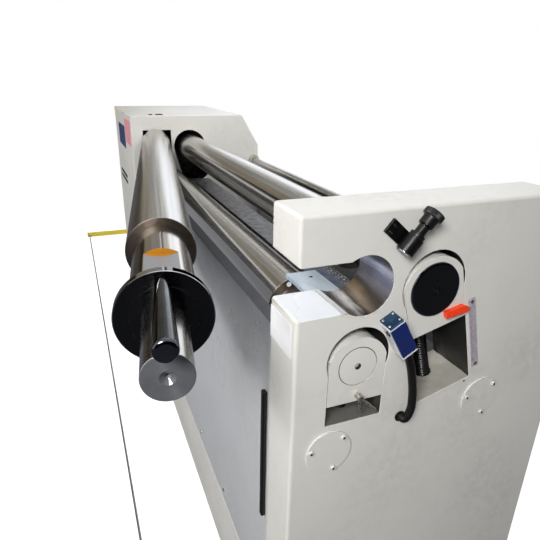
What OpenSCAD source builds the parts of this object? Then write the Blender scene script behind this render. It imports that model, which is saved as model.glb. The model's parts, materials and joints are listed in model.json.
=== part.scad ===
// Plate rolling machine: three rolls between a gear housing (left, -X) and an end housing (right, +X).
// The top roll swings out to the front through the open mouth of the right housing.
// Frame: X along the rolls, +Y to the rear, +Z up, origin on the floor under the middle of the machine.

/* [Overall] */
// Length of the top roll's working face
roll_face_l = 1505; // [1000:5:2000]
// Height of both housings above the floor
machine_h = 1140; // [1000:10:1400]
// Depth of the right housing, front to rear
body_d = 594; // [520:2:760]
// Thickness of the right housing
side_wall_t = 100; // [80:1:140]
// Length of the left gear housing
head_l = 740; // [600:10:1000]
// How far the gear housing stands in front of the right housing
head_step = 18; // [5:1:40]
// Height of the gear housing's underside
head_under_z = 370; // [300:5:450]
// Depth of the sloped rear shoulder of both housings
shoulder_d = 86; // [40:1:120]
// Height of the sloped rear shoulder of both housings
shoulder_h = 145; // [60:1:180]

/* [Rolls] */
// Diameter of the top roll
top_roll_d = 125; // [100:1:126]
// Diameter of the bottom roll and the rear roll
low_roll_d = 115; // [90:1:116]
// Diameter of the journals of the bottom and rear rolls
journal_d = 72; // [50:1:80]
// Distance from the front face to the top roll's axis when it is closed
axis_inset = 115; // [100:1:150]
// Distance from the housing top to the top roll's axis
axis_drop = 119; // [100:1:150]
// Distance from the top roll's axis down to the bottom roll's axis
pinch_drop = 142; // [138:1:165]
// Distance from the top roll's axis back to the rear roll's axis
rear_back = 134; // [132:1:160]
// Distance from the top roll's axis down to the rear roll's axis
rear_drop = 25; // [0:1:60]
// Lean of the rear roll's slot towards the front, in degrees
rear_lean = 15; // [5:1:20]
// Gap between the right housing and the top roll's shoulder
neck_gap = 135; // [120:1:180]
// Gap between the gear housing and the top roll's end
end_gap = 20; // [20:1:40]
// Swing of the open top roll from its closed line, in degrees
open_angle = 8.95; // [4:0.05:12]
// Depth of the swing pivot inside the gear housing
pivot_in = 168; // [120:1:200]

/* [Bearing blocks] */
// Width of the bottom roll's bearing blocks
bottom_block_w = 106; // [96:1:116]
// Width of the rear roll's bearing blocks
rear_block_w = 115; // [100:1:118]
// Clearance on each side of a block in its slot
block_gap = 0.5; // [0.3:0.1:1]
// Distance from the bottom block's bore to its lower edge
bottom_block_below = 68; // [60:1:80]
// Distance from the rear block's bore to its lower edge
rear_block_below = 76; // [60:1:80]
// Radius of the bottom block's rounded top
bottom_block_r = 56; // [54:1:60]
// Radius of the rear block's rounded top
rear_block_r = 61; // [58:1:62]
// Travel of the bottom roll upwards from rest
bottom_up = 13; // [5:1:13]
// Travel of the bottom roll downwards from rest
bottom_down = 25; // [10:1:30]
// Travel of the rear roll downwards from rest
rear_down = 90; // [40:1:100]

/* [Mouth and lock] */
// Diameter of the steel bore that holds the closed top roll
bore_d = 100; // [90:1:110]
// Wall of the steel bush round the bore
bush_t = 6; // [4:1:10]
// Height of the open mouth between the bore and the front
mouth_h = 84; // [76:1:88]
// Diameter of the lock sleeve on the top roll
sleeve_d = 98; // [88:1:98]
// Distance across the two flats of the sleeve
sleeve_flats = 75; // [60:1:76]
// Diameter of the top roll's end shaft
shaft_d = 59; // [40:1:62]
// Diameter of the lock disc
disc_d = 132; // [120:1:134]
// Thickness of the lock disc
disc_t = 16; // [10:1:20]
// Gap between the closed lock disc and the right housing
disc_gap = 10; // [6:1:24]
// Distance of the handle rod from the top roll's axis
handle_off = 51; // [48:1:52]
// Length of the handle rod
handle_l = 170; // [100:1:200]
// Angle of the latch from straight up, towards the rear
latch_angle = 40.5; // [30:0.5:45]

/* [Stand] */
// Thickness of the foot plates
foot_t = 20; // [12:1:30]
// How far the foot plates stand out at the front and rear
foot_out = 45; // [35:1:80]
// Diameter of the anchor holes
anchor_d = 18; // [12:1:24]
// Height of the base rails
rail_h = 220; // [150:5:260]
// Depth of the base rails
rail_d = 60; // [40:1:100]
// Thickness of the apron and the rear panel
panel_t = 5; // [3:1:8]
// Distance from the housing top to the apron's top edge
apron_drop = 210; // [190:1:240]
// How far the trip wire runs in front of the right housing
wire_out = 239; // [200:1:350]
// Height of the trip wire
wire_z = 391; // [385:1:450]

/* [Hidden] */
$fn = 96;

paint = [0.86, 0.86, 0.84];
panel_grey = [0.62, 0.63, 0.65];
steel = [0.72, 0.73, 0.74];
dark_steel = [0.25, 0.25, 0.27];
black = [0.04, 0.04, 0.05];
switch_blue = [0.10, 0.22, 0.55];
orange = [0.95, 0.30, 0.08];
yellow = [0.92, 0.86, 0.20];

eps = 1;                        // overshoot of a cut past a face
fit = 0.08;                     // radial running clearance of a shaft
seat = 0.3;                     // gap between two faces that slide past each other

// Places along the machine
machine_l = side_wall_t + neck_gap + roll_face_l + end_gap + head_l;
x_out = machine_l / 2;
x_in = x_out - side_wall_t;
x_head = x_in - neck_gap - roll_face_l - end_gap;
x_far = x_head - head_l;
span = x_in - x_head;

// Places across and up the machine
front_y = -body_d / 2;
rear_y = body_d / 2;
head_front_y = front_y - head_step;
axis_y = front_y + axis_inset;
axis_z = machine_h - axis_drop;
bottom_z = axis_z - pinch_drop;
rear_axis_y = axis_y + rear_back;
rear_axis_z = axis_z - rear_drop;

// Slots of the bearing blocks, measured from the bore of the block at rest
bottom_slot_w = bottom_block_w + 2 * block_gap;
bottom_slot_top = bottom_block_r + bottom_up + 2;  // block top, its travel and the free gap over it
bottom_slot_low = 106;
rear_slot_w = rear_block_w + 2 * block_gap;
rear_up = 4;
rear_slot_top = rear_block_r + rear_up + 4;
rear_slot_low = 214;
arch_extra = 4;                                    // a slot's arch past its straight sides
block_arc_z = -3;                                  // centre of the rounded top under the bore
shoulder_above = 10;                               // straight sides of a block above its bore

// Far ends of the bottom and rear rolls inside the gear housing
roll_in = 30;
pocket_l = 60;
far_block_l = 80;
far_block_gap = 5;
far_x = x_head - pocket_l - far_block_gap;
low_shoulder_in = neck_gap + 15;                   // right housing to the lower rolls' shoulders
cap_t = 10;

// Yoke of the top roll inside the gear housing
pivot_x = x_head - pivot_in;
window_front = 82;
window_rear = 46;
window_half_h = 55;
yoke_w = 66;
yoke_h = 92;
yoke_back = 40;
pocket_depth = pivot_in + 70;
pin_d = 28;
pin_low_z = axis_z - window_half_h - 40;
pin_l = 2 * window_half_h + 90;
yoke_journal_d = 44;
yoke_journal_in = 110;

// Lock parts, measured along the top roll from the pivot
disc_l0 = x_out + disc_gap - pivot_x;
disc_l1 = disc_l0 + disc_t;
shoulder_l = x_in - neck_gap - pivot_x;
roll_end_l = x_head + end_gap - pivot_x;
shaft_out = 136;
slot_from = 12;                                    // rim slot, degrees from the handle to the rear
slot_to = 50;
slot_deep = 16;
slot_lip = 2;                                      // rim left in front of the slot

// Latch, measured out from the bore's axis
latch_x = x_out + disc_gap + disc_t / 2;
pin_r = 5;
pin_tip = disc_d / 2 + 6;
latch_travel = 14;
boss_top = 101;
collar_r = 12;
collar_to = 107;
barrel_r = 8.5;
barrel_to = 122;
skirt_r = 12;
skirt_from = collar_to + latch_travel + 2;         // moving sleeve under the knob
knob_from = 138;
knob_r = 16;
knob_t = 10.5;

// Stand
stand_inset = 30;                                  // the gear housing's stand inside its outline
end_plate_t = 20;
strip_z = rear_axis_z - rear_down * cos(rear_lean) - low_roll_d / 2 - 8;
strip_leg = 84;                                    // bed's top under the guide strip
bed_top_z = strip_z - strip_leg;
rear_panel_drop = 280;                             // housing top to the rear panel's top edge
tie_r = 17;
arm_t = 8;
arm_h = 26;
wire_r = 2.5;
wire_y = front_y - wire_out;

// Draws children given in the Y-Z plane as a solid from x0 to x0 + l
module along_x(x0, l) {
    translate([x0, 0, 0]) rotate([90, 0, 90]) linear_extrude(height = l) children();
}

// Moves children from the closed roll's axis at the pivot to the open line
module on_open_roll() {
    translate([pivot_x, axis_y, axis_z]) rotate([0, 0, -open_angle]) children();
}

// A round bar along the open roll, from l0 to l1
module roll_bar(l0, l1, d) {
    translate([l0, 0, 0]) rotate([0, 90, 0]) cylinder(d = d, h = l1 - l0);
}

// Moves children, drawn round the bore of the rear block, to its leaning line
module on_rear_axis() {
    translate([0, rear_axis_y, rear_axis_z]) rotate([rear_lean, 0, 0]) children();
}

// Moves children, drawn along +Z from the bore's axis, to the latch's line
module on_latch() {
    translate([latch_x, axis_y, axis_z]) rotate([-latch_angle, 0, 0]) children();
}

module housing_profile(y0, z0) {
    polygon([[y0, z0], [rear_y, z0], [rear_y, machine_h - shoulder_h],
             [rear_y - shoulder_d, machine_h], [y0, machine_h]]);
}

module slot_profile(w, top, low) {
    arch_r = w / 2 + arch_extra;
    translate([0, top - arch_r]) circle(r = arch_r);
    translate([-w / 2, -low]) square([w, low + top - arch_r]);
}

module block_profile(w, top_r, below) {
    intersection() {
        translate([-w / 2, -below]) square([w, below + top_r]);
        union() {
            translate([0, block_arc_z]) circle(r = top_r);
            translate([-w / 2, -below]) square([w, below + shoulder_above]);
        }
    }
}

module bottom_slot(x0, l) {
    along_x(x0, l) translate([axis_y, bottom_z])
        slot_profile(bottom_slot_w, bottom_slot_top, bottom_slot_low);
}

module rear_slot(x0, l) {
    on_rear_axis() along_x(x0, l) slot_profile(rear_slot_w, rear_slot_top, rear_slot_low);
}

// Stadium hole for a roll's end that travels between two heights
module roll_hole(x0, l, r, up, down) {
    along_x(x0, l) {
        translate([0, up]) circle(r = r);
        translate([0, -down]) circle(r = r);
        translate([-r, -down]) square([2 * r, up + down]);
    }
}

module screw_socket(x, low, r, deep) {
    translate([x, 0, -low - deep]) cylinder(r = r, h = deep + eps);
}

bottom_screw_r = 12;
bottom_screw_x = x_in + side_wall_t / 2;
rear_screw_r = 14;
rear_screw_x = x_out - 62;
socket_gap = 2;
bottom_socket = bottom_down + 20;
rear_socket = rear_down + 20;

module right_housing() color(paint) difference() {
    along_x(x_in, side_wall_t) housing_profile(front_y, foot_t);
    translate([x_in - eps, axis_y, axis_z]) rotate([0, 90, 0])
        cylinder(d = bore_d + 2 * bush_t, h = side_wall_t + 2 * eps);
    translate([x_in - eps, front_y - eps, axis_z - mouth_h / 2])
        cube([side_wall_t + 2 * eps, axis_inset + eps, mouth_h]);
    bottom_slot(x_in - eps, side_wall_t + 2 * eps);
    rear_slot(x_in - eps, side_wall_t + 2 * eps);
    translate([0, axis_y, bottom_z])
        screw_socket(bottom_screw_x, bottom_slot_low, bottom_screw_r + socket_gap, bottom_socket);
    on_rear_axis() screw_socket(rear_screw_x, rear_slot_low, rear_screw_r + socket_gap, rear_socket);
}

module bore_bush() color(steel) translate([x_in, axis_y, axis_z]) rotate([90, 0, 90])
    linear_extrude(height = side_wall_t) difference() {
        circle(d = bore_d + 2 * bush_t);
        circle(d = bore_d);
        translate([-bore_d, -mouth_h / 2]) square([bore_d, mouth_h]);
    }

module mouth_guide() color([0.78, 0.84, 0.90]) {
    guide_w = 64;
    guide_t = 8;
    guide_z = axis_z - 71;
    guide_l = neck_gap - 7;
    translate([x_in - guide_l, axis_y - guide_w / 2, guide_z]) difference() {
        cube([guide_l, guide_w, guide_t]);
        for (x = [30, 105]) translate([x, guide_w / 2 + 8, guide_t - 3]) cylinder(d = 7, h = 4);
    }
}

module left_housing() color(paint) difference() {
    along_x(x_far, head_l) housing_profile(head_front_y, head_under_z);
    translate([x_head - pocket_depth, axis_y - window_front, axis_z - window_half_h])
        cube([pocket_depth + eps, window_front + window_rear, 2 * window_half_h]);
    translate([0, axis_y, bottom_z])
        roll_hole(x_head - pocket_l, pocket_l + eps, 64, bottom_up, bottom_down);
    bottom_slot(far_x - far_block_l - far_block_gap, far_block_l + 2 * far_block_gap + eps);
    on_rear_axis() roll_hole(x_head - pocket_l, pocket_l + eps, 75, rear_up, rear_down);
    rear_slot(far_x - far_block_l - far_block_gap, far_block_l + 2 * far_block_gap + eps);
    translate([pivot_x, axis_y, pin_low_z]) cylinder(d = pin_d, h = pin_l);
}

module left_stand() color(paint) {
    stand_h = head_under_z - foot_t;
    translate([x_far + stand_inset, front_y + stand_inset, foot_t])
        cube([head_l - stand_inset, body_d - 2 * stand_inset, stand_h]);
    translate([x_head - end_plate_t, front_y, foot_t]) cube([end_plate_t, body_d, stand_h]);
}

module foot_plate(x0, l) {
    difference() {
        translate([x0, front_y - foot_out, 0]) cube([l, body_d + 2 * foot_out, foot_t]);
        for (y = [-1, 1]) translate([x0 + l / 2, y * (rear_y + foot_out / 2), -eps])
            cylinder(d = anchor_d, h = foot_t + 2 * eps);
    }
}

module foot_plates() color(dark_steel) {
    foot_plate(x_in, side_wall_t);
    foot_plate(x_far, side_wall_t);
    translate([x_head - side_wall_t, front_y, 0]) cube([side_wall_t, body_d, foot_t]);
}

module head_end_cover() color(paint) {
    cover_t = 3;
    margin = 60;
    translate([x_far - cover_t, head_front_y + margin, head_under_z + margin])
        cube([cover_t, body_d - shoulder_d - margin, machine_h - head_under_z - 2 * margin]);
}

module swing_pin() color(black) {
    translate([pivot_x, axis_y, pin_low_z]) cylinder(d = pin_d, h = pin_l);
}

module top_plugs() color(black) {
    plug_h = 3;
    translate([x_head - 52, axis_y + 4, machine_h]) cylinder(d = 36, h = plug_h);
    translate([x_head - 55, axis_y - 33, machine_h]) cylinder(d = 18, h = plug_h);
}

module apron() color(panel_grey) {
    top_z = machine_h - apron_drop;
    lip = 25;
    translate([x_head, front_y, rail_h]) cube([span, panel_t, top_z - rail_h]);
    translate([x_head, front_y, top_z - panel_t]) cube([span, lip, panel_t]);
}

module base_rails() color(paint) {
    translate([x_head, front_y, 0]) cube([span, rail_d, rail_h]);
    translate([x_head, rear_y - rail_d, 0]) cube([span, rail_d, rail_h]);
}

module rear_panel() color(panel_grey)
    translate([x_head, rear_y - panel_t, rail_h]) cube([span, panel_t, machine_h - rear_panel_drop - rail_h]);

module bed_beam() color(panel_grey)
    translate([x_head, axis_y + 20, bed_top_z - 120]) cube([span, 300, 120]);

module guide_strip() color(steel) {
    strip_t = 3;
    strip_w = 83;
    strip_y = axis_y + 137;
    strip_l = span - 6;
    translate([x_head, strip_y, strip_z - strip_t]) cube([strip_l, strip_w, strip_t]);
    translate([x_head, strip_y + strip_w - strip_t, bed_top_z])
        cube([strip_l, strip_t, strip_z - bed_top_z - strip_t / 2]);
}

module rear_tie_bar() color(steel)
    translate([x_head, rear_y - 23, machine_h - 220]) rotate([0, 90, 0]) cylinder(r = tie_r, h = span);

module round_cover(y, z) {
    cover_r = 43;
    cover_t = 4;
    translate([x_out, y, z]) rotate([0, 90, 0]) cylinder(r = cover_r, h = cover_t);
}

module adjuster_covers() color(paint) {
    round_cover(axis_y + 280, axis_z - 271);
    round_cover(axis_y - 44, axis_z - 302);
}

module scale_strip() color(steel) {
    strip_w = 15;
    strip_l = 148;
    on_rear_axis() translate([x_out, rear_slot_w / 2 + 6, -196]) cube([1.5, strip_w, strip_l]);
}

module latch_bracket() color(black) {
    arm_out = 41;
    arm_t = 5;
    boss_r = collar_r + 2;
    boss_low = pin_tip + 1;
    pin_out = latch_x - x_out;
    translate([x_out, axis_y, axis_z]) rotate([-latch_angle, 0, 0]) difference() {
        union() {
            translate([pin_out, 0, boss_low]) cylinder(r = boss_r, h = boss_top - boss_low);
            translate([0, -1, boss_low]) cube([pin_out, boss_r + 1, boss_top - boss_low]);
            translate([0, -arm_out, boss_low + 5]) cube([arm_t, arm_out, boss_top - boss_low - 3]);
        }
        translate([pin_out, 0, 0]) cylinder(r = pin_r + fit, h = barrel_to);
    }
}

module latch_barrel() color(black) on_latch() difference() {
    union() {
        translate([0, 0, boss_top]) cylinder(r = collar_r, h = collar_to - boss_top);
        translate([0, 0, boss_top]) cylinder(r = barrel_r, h = barrel_to - boss_top);
    }
    cylinder(r = pin_r + fit, h = barrel_to + eps);
}

module latch_pin() color(steel) on_latch()
    translate([0, 0, pin_tip]) cylinder(r = pin_r, h = knob_from - pin_tip);

module latch_knob() color(black) on_latch() {
    translate([0, 0, knob_from]) cylinder(r = knob_r, h = knob_t);
    translate([0, 0, skirt_from]) difference() {
        cylinder(r = skirt_r, h = knob_from - skirt_from);
        translate([0, 0, -eps]) cylinder(r = barrel_r + 1, h = knob_from - skirt_from + eps);
    }
}

switch_lean = 30;
switch_w = 30;
switch_l = 68;
switch_t = 28;
switch_y = 46;
switch_dz = -62;
plunger_l = 2;

module on_switch() {
    translate([x_out, axis_y + switch_y, axis_z + switch_dz]) rotate([switch_lean, 0, 0]) children();
}

module limit_switch_body() color(switch_blue) on_switch()
    translate([0, -switch_w / 2, -switch_l]) cube([switch_t, switch_w, switch_l]);

module limit_switch_head() color(switch_blue) on_switch() {
    head_w = 27;
    translate([0, head_w / 2, 0]) rotate([90, 0, 0]) linear_extrude(height = head_w)
        polygon([[0, 0], [switch_t, 0], [switch_t - 2, 2], [2, 6], [0, 6]]);
    translate([switch_t / 2, 0, 3]) cylinder(r = 4, h = plunger_l);
}

// Ring of a swept tube at point p, across the direction d
function ring(p, d, r, n) =
    let (u = cross(d, [1, 0.2, 0.1]), a = u / norm(u), w = cross(d, a), b = w / norm(w))
    [for (i = [0 : n - 1]) p + r * (cos(360 * i / n) * a + sin(360 * i / n) * b)];

module tube(path, r, n) {
    last = len(path) - 1;
    dirs = [for (i = [0 : last]) path[min(i + 1, last)] - path[max(i - 1, 0)]];
    points = [for (i = [0 : last]) each ring(path[i], dirs[i], r, n)];
    sides = [for (i = [0 : last - 1], j = [0 : n - 1])
        [i * n + j, i * n + (j + 1) % n, (i + 1) * n + (j + 1) % n, (i + 1) * n + j]];
    caps = [[for (j = [n - 1 : -1 : 0]) j], [for (j = [0 : n - 1]) last * n + j]];
    polyhedron(points, concat(sides, caps));
}

// Quadratic curve through three chosen points
function bend(a, b, c, n) =
    [for (i = [0 : n]) let (t = i / n) (1 - t) * (1 - t) * a + 2 * t * (1 - t) * b + t * t * c];

module switch_cable() color(black) {
    cable_r = 7.2;
    out = [0, sin(switch_lean), -cos(switch_lean)];
    start = [x_out + 14, axis_y + switch_y, axis_z + switch_dz] + (switch_l + seat) * out;
    mid = start + [0, 22, -62];
    turn = start + [0, 29, -118];
    corner = turn + [0, -4, -30];
    into = [x_out + 8, corner[1] - 7, corner[2] + 2];
    finish = [x_out + seat, into[1], into[2]];
    tube(concat([start], bend(start + 3 * out, start + 30 * out, mid, 8),
                [for (p = bend(mid, (mid + turn) / 2 + [0, 3, 0], turn, 5)) if (p != mid) p],
                [for (p = bend(turn, corner, into, 8)) if (p != turn) p], [finish]), cable_r, 12);
}

module apron_handle() color(black) {
    bar_w = 13;
    bar_out = 9;
    translate([x_in - 4 - bar_w, front_y - bar_out, axis_z - 534]) cube([bar_w, bar_out, 300]);
}

module trip_arm(x, root_y) {
    translate([x, wire_y - 12, wire_z - arm_h / 2]) cube([arm_t, root_y - wire_y + 12, arm_h]);
}

module trip_arms() color(yellow) difference() {
    union() {
        trip_arm(x_far + 20, head_front_y);
        trip_arm(x_out - 30, front_y);
    }
    translate([x_far, wire_y, wire_z]) rotate([0, 90, 0]) cylinder(r = wire_r, h = machine_l);
}

module trip_wire() color(steel)
    translate([x_far + 20, wire_y, wire_z]) rotate([0, 90, 0]) cylinder(r = wire_r, h = machine_l - 42);

module blank_labels() color("white") {
    label_t = 1;
    translate([x_in + 4, front_y - label_t, axis_z - 112]) cube([82, label_t, 58]);
    translate([x_head - 250, head_front_y - label_t, machine_h - 140]) cube([220, label_t, 115]);
    translate([x_head - 570, head_front_y - label_t, machine_h - 180]) cube([290, label_t, 110]);
}

module bored_block(x0, l, bored_from) {
    difference() {
        along_x(x0, l) children();
        translate([bored_from, 0, 0]) rotate([0, 90, 0]) cylinder(d = journal_d + 2 * fit, h = l);
    }
}

module bottom_block(x0, l, bored_from) {
    bored_block(x0, l, bored_from) block_profile(bottom_block_w, bottom_block_r, bottom_block_below);
}

module rear_block(x0, l, bored_from) {
    bored_block(x0, l, bored_from) block_profile(rear_block_w, rear_block_r, rear_block_below);
}

module bottom_block_right() color(paint) translate([0, axis_y, bottom_z]) difference() {
    bottom_block(x_in, side_wall_t, x_in - cap_t - eps);
    translate([x_out - cap_t - eps, 0, 0]) rotate([0, 90, 0]) cylinder(d = journal_d, h = cap_t + 2 * eps);
}

module bottom_block_cap() color(paint) translate([x_out - cap_t, axis_y, bottom_z]) rotate([0, 90, 0])
    difference() {
        cylinder(d = journal_d, h = cap_t);
        translate([0, 0, cap_t - 6]) cylinder(r = 5, h = 7);
    }

module bottom_block_left() color(dark_steel) translate([0, axis_y, bottom_z])
    bottom_block(far_x - far_block_l, far_block_l, far_x - far_block_l);

module bottom_screw() color(dark_steel)
    translate([bottom_screw_x, axis_y, bottom_z - bottom_slot_low - 15])
        cylinder(r = bottom_screw_r, h = bottom_slot_low + 15 - bottom_block_below);

module grease_fitting() color(steel) {
    stub_r = 5;
    arm_r = 3;
    translate([x_out, axis_y + 3, bottom_z - 55]) rotate([0, 90, 0]) cylinder(r = stub_r, h = 14);
    translate([x_out + 8, axis_y + 3, bottom_z - 55]) {
        rotate([185, 0, 0]) cylinder(r = arm_r, h = 32);
        rotate([225, 0, 0]) cylinder(r = arm_r, h = 50);
    }
}

module low_roll(y, z) {
    journal_x0 = far_x - far_block_l;
    body_x0 = x_head - roll_in;
    body_x1 = x_in - low_shoulder_in;
    translate([0, y, z]) rotate([0, 90, 0]) {
        translate([0, 0, journal_x0]) cylinder(d = journal_d, h = x_out - cap_t - 2 - journal_x0);
        translate([0, 0, body_x0]) cylinder(d = low_roll_d, h = body_x1 - body_x0);
    }
}

module bottom_roll() color(steel) low_roll(axis_y, bottom_z);

module rear_roll() color(steel) low_roll(rear_axis_y, rear_axis_z);

module rear_block_right() color(paint) on_rear_axis() difference() {
    rear_block(x_in, side_wall_t, x_in - cap_t - eps);
    translate([x_out - cap_t - eps, 0, 0]) rotate([0, 90, 0]) cylinder(d = journal_d, h = cap_t + 2 * eps);
}

module rear_block_cap() color(black) on_rear_axis() {
    rim_r = 48;
    rim_t = 3;
    translate([x_out, 0, 0]) rotate([0, 90, 0]) difference() {
        cylinder(r = rim_r, h = rim_t);
        translate([0, 0, rim_t - 2]) cylinder(r = 9, h = 2 + eps);
    }
    translate([x_out - cap_t, 0, 0]) rotate([0, 90, 0]) cylinder(d = journal_d, h = cap_t);
}

module rear_pointer() color(orange) on_rear_axis() {
    base_t = 9;
    tip_from = 6;
    along_x(x_out, base_t) polygon([[12, -60], [50, -64.5], [50, -49], [12, -47.5]]);
    along_x(x_out + tip_from, base_t - tip_from)
        polygon([[50, -64.5], [56, -64], [61.5, -60.5], [56, -53], [50, -49]]);
}

module rear_block_left() color(dark_steel) on_rear_axis()
    rear_block(far_x - far_block_l, far_block_l, far_x - far_block_l);

module rear_screw() color(dark_steel) on_rear_axis()
    translate([rear_screw_x, 0, -rear_slot_low - 15])
        cylinder(r = rear_screw_r, h = rear_slot_low + 15 - rear_block_below);

module top_yoke() color(dark_steel) on_open_roll() difference() {
    translate([-yoke_back, -yoke_w / 2, -yoke_h / 2])
        cube([yoke_back + pivot_in - 8, yoke_w, yoke_h]);
    translate([0, 0, -yoke_h]) cylinder(d = pin_d + 2 * fit, h = 2 * yoke_h);
    translate([pivot_in - yoke_journal_in, 0, 0]) rotate([0, 90, 0])
        cylinder(d = yoke_journal_d + 2 * fit, h = yoke_journal_in);
}

module top_roll() color(steel) on_open_roll() difference() {
    union() {
        roll_bar(pivot_in - yoke_journal_in + 2, disc_l1 + shaft_out, yoke_journal_d);
        roll_bar(roll_end_l, disc_l1 + shaft_out, shaft_d);
        roll_bar(roll_end_l, shoulder_l, top_roll_d);
    }
    roll_bar(disc_l1 + shaft_out - 12, disc_l1 + shaft_out + eps, 12);
}

module lock_sleeve() color(steel) on_open_roll() difference() {
    flat_l0 = x_in - pivot_x - 30;
    roll_bar(shoulder_l + seat, disc_l0, sleeve_d);
    roll_bar(shoulder_l, disc_l0 + eps, shaft_d + 2 * fit);
    for (z = [-sleeve_d - sleeve_flats / 2, sleeve_flats / 2])
        translate([flat_l0, -sleeve_d / 2, z]) cube([disc_l0 + eps - flat_l0, sleeve_d, sleeve_d]);
}

module lock_disc() color(black) on_open_roll() difference() {
    roll_bar(disc_l0, disc_l1, disc_d);
    roll_bar(disc_l0 - eps, disc_l1 + eps, shaft_d + 2 * fit);
    translate([disc_l0 - eps, 0, 0]) rotate([0, 90, 0])
        rotate([0, 0, 180 - slot_to]) rotate_extrude(angle = slot_to - slot_from)
            translate([disc_d / 2 - slot_deep, 0]) square([slot_deep + eps, disc_t + eps - slot_lip]);
}

module lock_handle() color(black) on_open_roll()
    translate([disc_l1, 0, handle_off]) rotate([0, 90, 0]) cylinder(r1 = 9.5, r2 = 13.7, h = handle_l);

right_housing();
bore_bush();
mouth_guide();
left_housing();
left_stand();
foot_plates();
head_end_cover();
swing_pin();
top_plugs();
apron();
base_rails();
rear_panel();
bed_beam();
guide_strip();
rear_tie_bar();
adjuster_covers();
scale_strip();
latch_bracket();
latch_barrel();
limit_switch_body();
limit_switch_head();
switch_cable();
apron_handle();
trip_arms();
trip_wire();
blank_labels();
bottom_block_right();
bottom_block_cap();
bottom_block_left();
bottom_screw();
grease_fitting();
bottom_roll();
rear_block_right();
rear_block_cap();
rear_pointer();
rear_block_left();
rear_screw();
rear_roll();
top_yoke();
top_roll();
lock_sleeve();
lock_disc();
lock_handle();
latch_pin();
latch_knob();
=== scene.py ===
# %% [markdown]
# # A plate rolling machine
# Three steel rolls run between a gear housing on the left and an end housing on the right. The top roll
# has been let out of the end housing and swings to the front on its pivot, so a rolled tube can come off.
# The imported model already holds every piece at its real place. This lesson gives each piece its finish,
# and it rebuilds the pieces whose edges, threads or turned faces need finer shape.

import json
import math

import bmesh
import bpy
from mathutils import Matrix, Vector


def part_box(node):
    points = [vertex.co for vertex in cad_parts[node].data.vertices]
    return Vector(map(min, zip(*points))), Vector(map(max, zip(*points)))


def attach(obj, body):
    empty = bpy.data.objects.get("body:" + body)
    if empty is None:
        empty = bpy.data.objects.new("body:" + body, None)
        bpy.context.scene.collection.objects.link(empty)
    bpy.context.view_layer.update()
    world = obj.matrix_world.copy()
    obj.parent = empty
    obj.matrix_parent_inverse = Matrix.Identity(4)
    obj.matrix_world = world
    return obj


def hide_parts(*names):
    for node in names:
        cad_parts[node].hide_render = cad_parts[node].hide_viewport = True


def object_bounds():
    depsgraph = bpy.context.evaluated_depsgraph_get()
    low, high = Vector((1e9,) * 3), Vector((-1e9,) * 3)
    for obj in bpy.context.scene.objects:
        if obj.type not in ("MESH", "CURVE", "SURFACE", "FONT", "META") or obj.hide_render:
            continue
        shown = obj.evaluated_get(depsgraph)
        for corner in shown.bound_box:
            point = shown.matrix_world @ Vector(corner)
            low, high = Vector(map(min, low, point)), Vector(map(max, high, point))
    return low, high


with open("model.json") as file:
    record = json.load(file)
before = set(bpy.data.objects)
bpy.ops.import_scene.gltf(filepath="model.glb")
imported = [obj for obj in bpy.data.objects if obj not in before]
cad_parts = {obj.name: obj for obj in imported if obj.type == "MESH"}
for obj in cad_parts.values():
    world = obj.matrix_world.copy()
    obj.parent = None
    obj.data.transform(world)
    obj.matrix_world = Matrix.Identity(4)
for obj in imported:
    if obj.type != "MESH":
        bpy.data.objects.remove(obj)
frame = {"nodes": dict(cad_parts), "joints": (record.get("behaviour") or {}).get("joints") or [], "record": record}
cad_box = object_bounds()
BODY_OF = {node: body for body, nodes in frame["record"]["behaviour"]["bodies"].items() for node in nodes}
JOINT = {joint["name"]: joint for joint in frame["joints"]}
print("CAD nodes:", len(frame["nodes"]), "bodies:", len(set(BODY_OF.values())))

# %% [markdown]
# ## Lines that the pieces sit on
# A roll is easiest to describe along its own axis: so many metres out from the swing pivot, and so far
# off the axis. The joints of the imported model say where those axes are, and the sizes are measured
# from the nodes themselves, so nothing here repeats a number that the model already knows.

# %% Axes of the open top roll, the rear roll and the latch
PIVOT = Vector(JOINT["top_roll_swing"]["pos_m"])
ROLL_DIR = Vector(JOINT["top_roll_spin"]["axis"]).normalized()
REAR_AXIS = Vector(JOINT["rear_roll_spin"]["pos_m"])
BOTTOM_AXIS = Vector(JOINT["bottom_roll_spin"]["pos_m"])
LATCH_UP = -Vector(JOINT["latch_slide"]["axis"]).normalized()
X_DIR, Y_DIR, Z_DIR = Vector((1, 0, 0)), Vector((0, 1, 0)), Vector((0, 0, 1))


def axes_at(origin, x, y, z):
    """A matrix that stands at a point with the three given directions as its local axes."""
    return Matrix.Translation(origin) @ Matrix((x, y, z)).transposed().to_4x4()


def line(origin, along, up=Z_DIR):
    """A matrix whose local X runs along a direction and whose local Z is near up."""
    x = along.normalized()
    y = up.cross(x).normalized()
    return axes_at(origin, x, y, x.cross(y))


def reach(node, origin, direction):
    """Nearest and farthest distance of a node's points along a direction."""
    steps = [(v.co - origin).dot(direction) for v in frame["nodes"][node].data.vertices]
    return min(steps), max(steps)


def girth(node, origin, direction):
    """Largest distance of a node's points from an axis."""
    offs = [v.co - origin for v in frame["nodes"][node].data.vertices]
    return max((off - off.dot(direction) * direction).length for off in offs)


RIGHT_LOW, RIGHT_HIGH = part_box("right_housing")
HEAD_LOW, HEAD_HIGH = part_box("left_housing")
OUT_X, IN_X, HEAD_X = RIGHT_HIGH.x, RIGHT_LOW.x, HEAD_HIGH.x
OPEN_LINE = line(PIVOT, ROLL_DIR)
BORE = Vector((OUT_X, PIVOT.y, PIVOT.z))
disc_from, disc_to = reach("lock_disc", PIVOT, ROLL_DIR)
roll_end, shaft_to = reach("top_roll", PIVOT, ROLL_DIR)
print("open roll reaches", round(shaft_to, 3), "m from its pivot; disc at", round(disc_from, 3))

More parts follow.
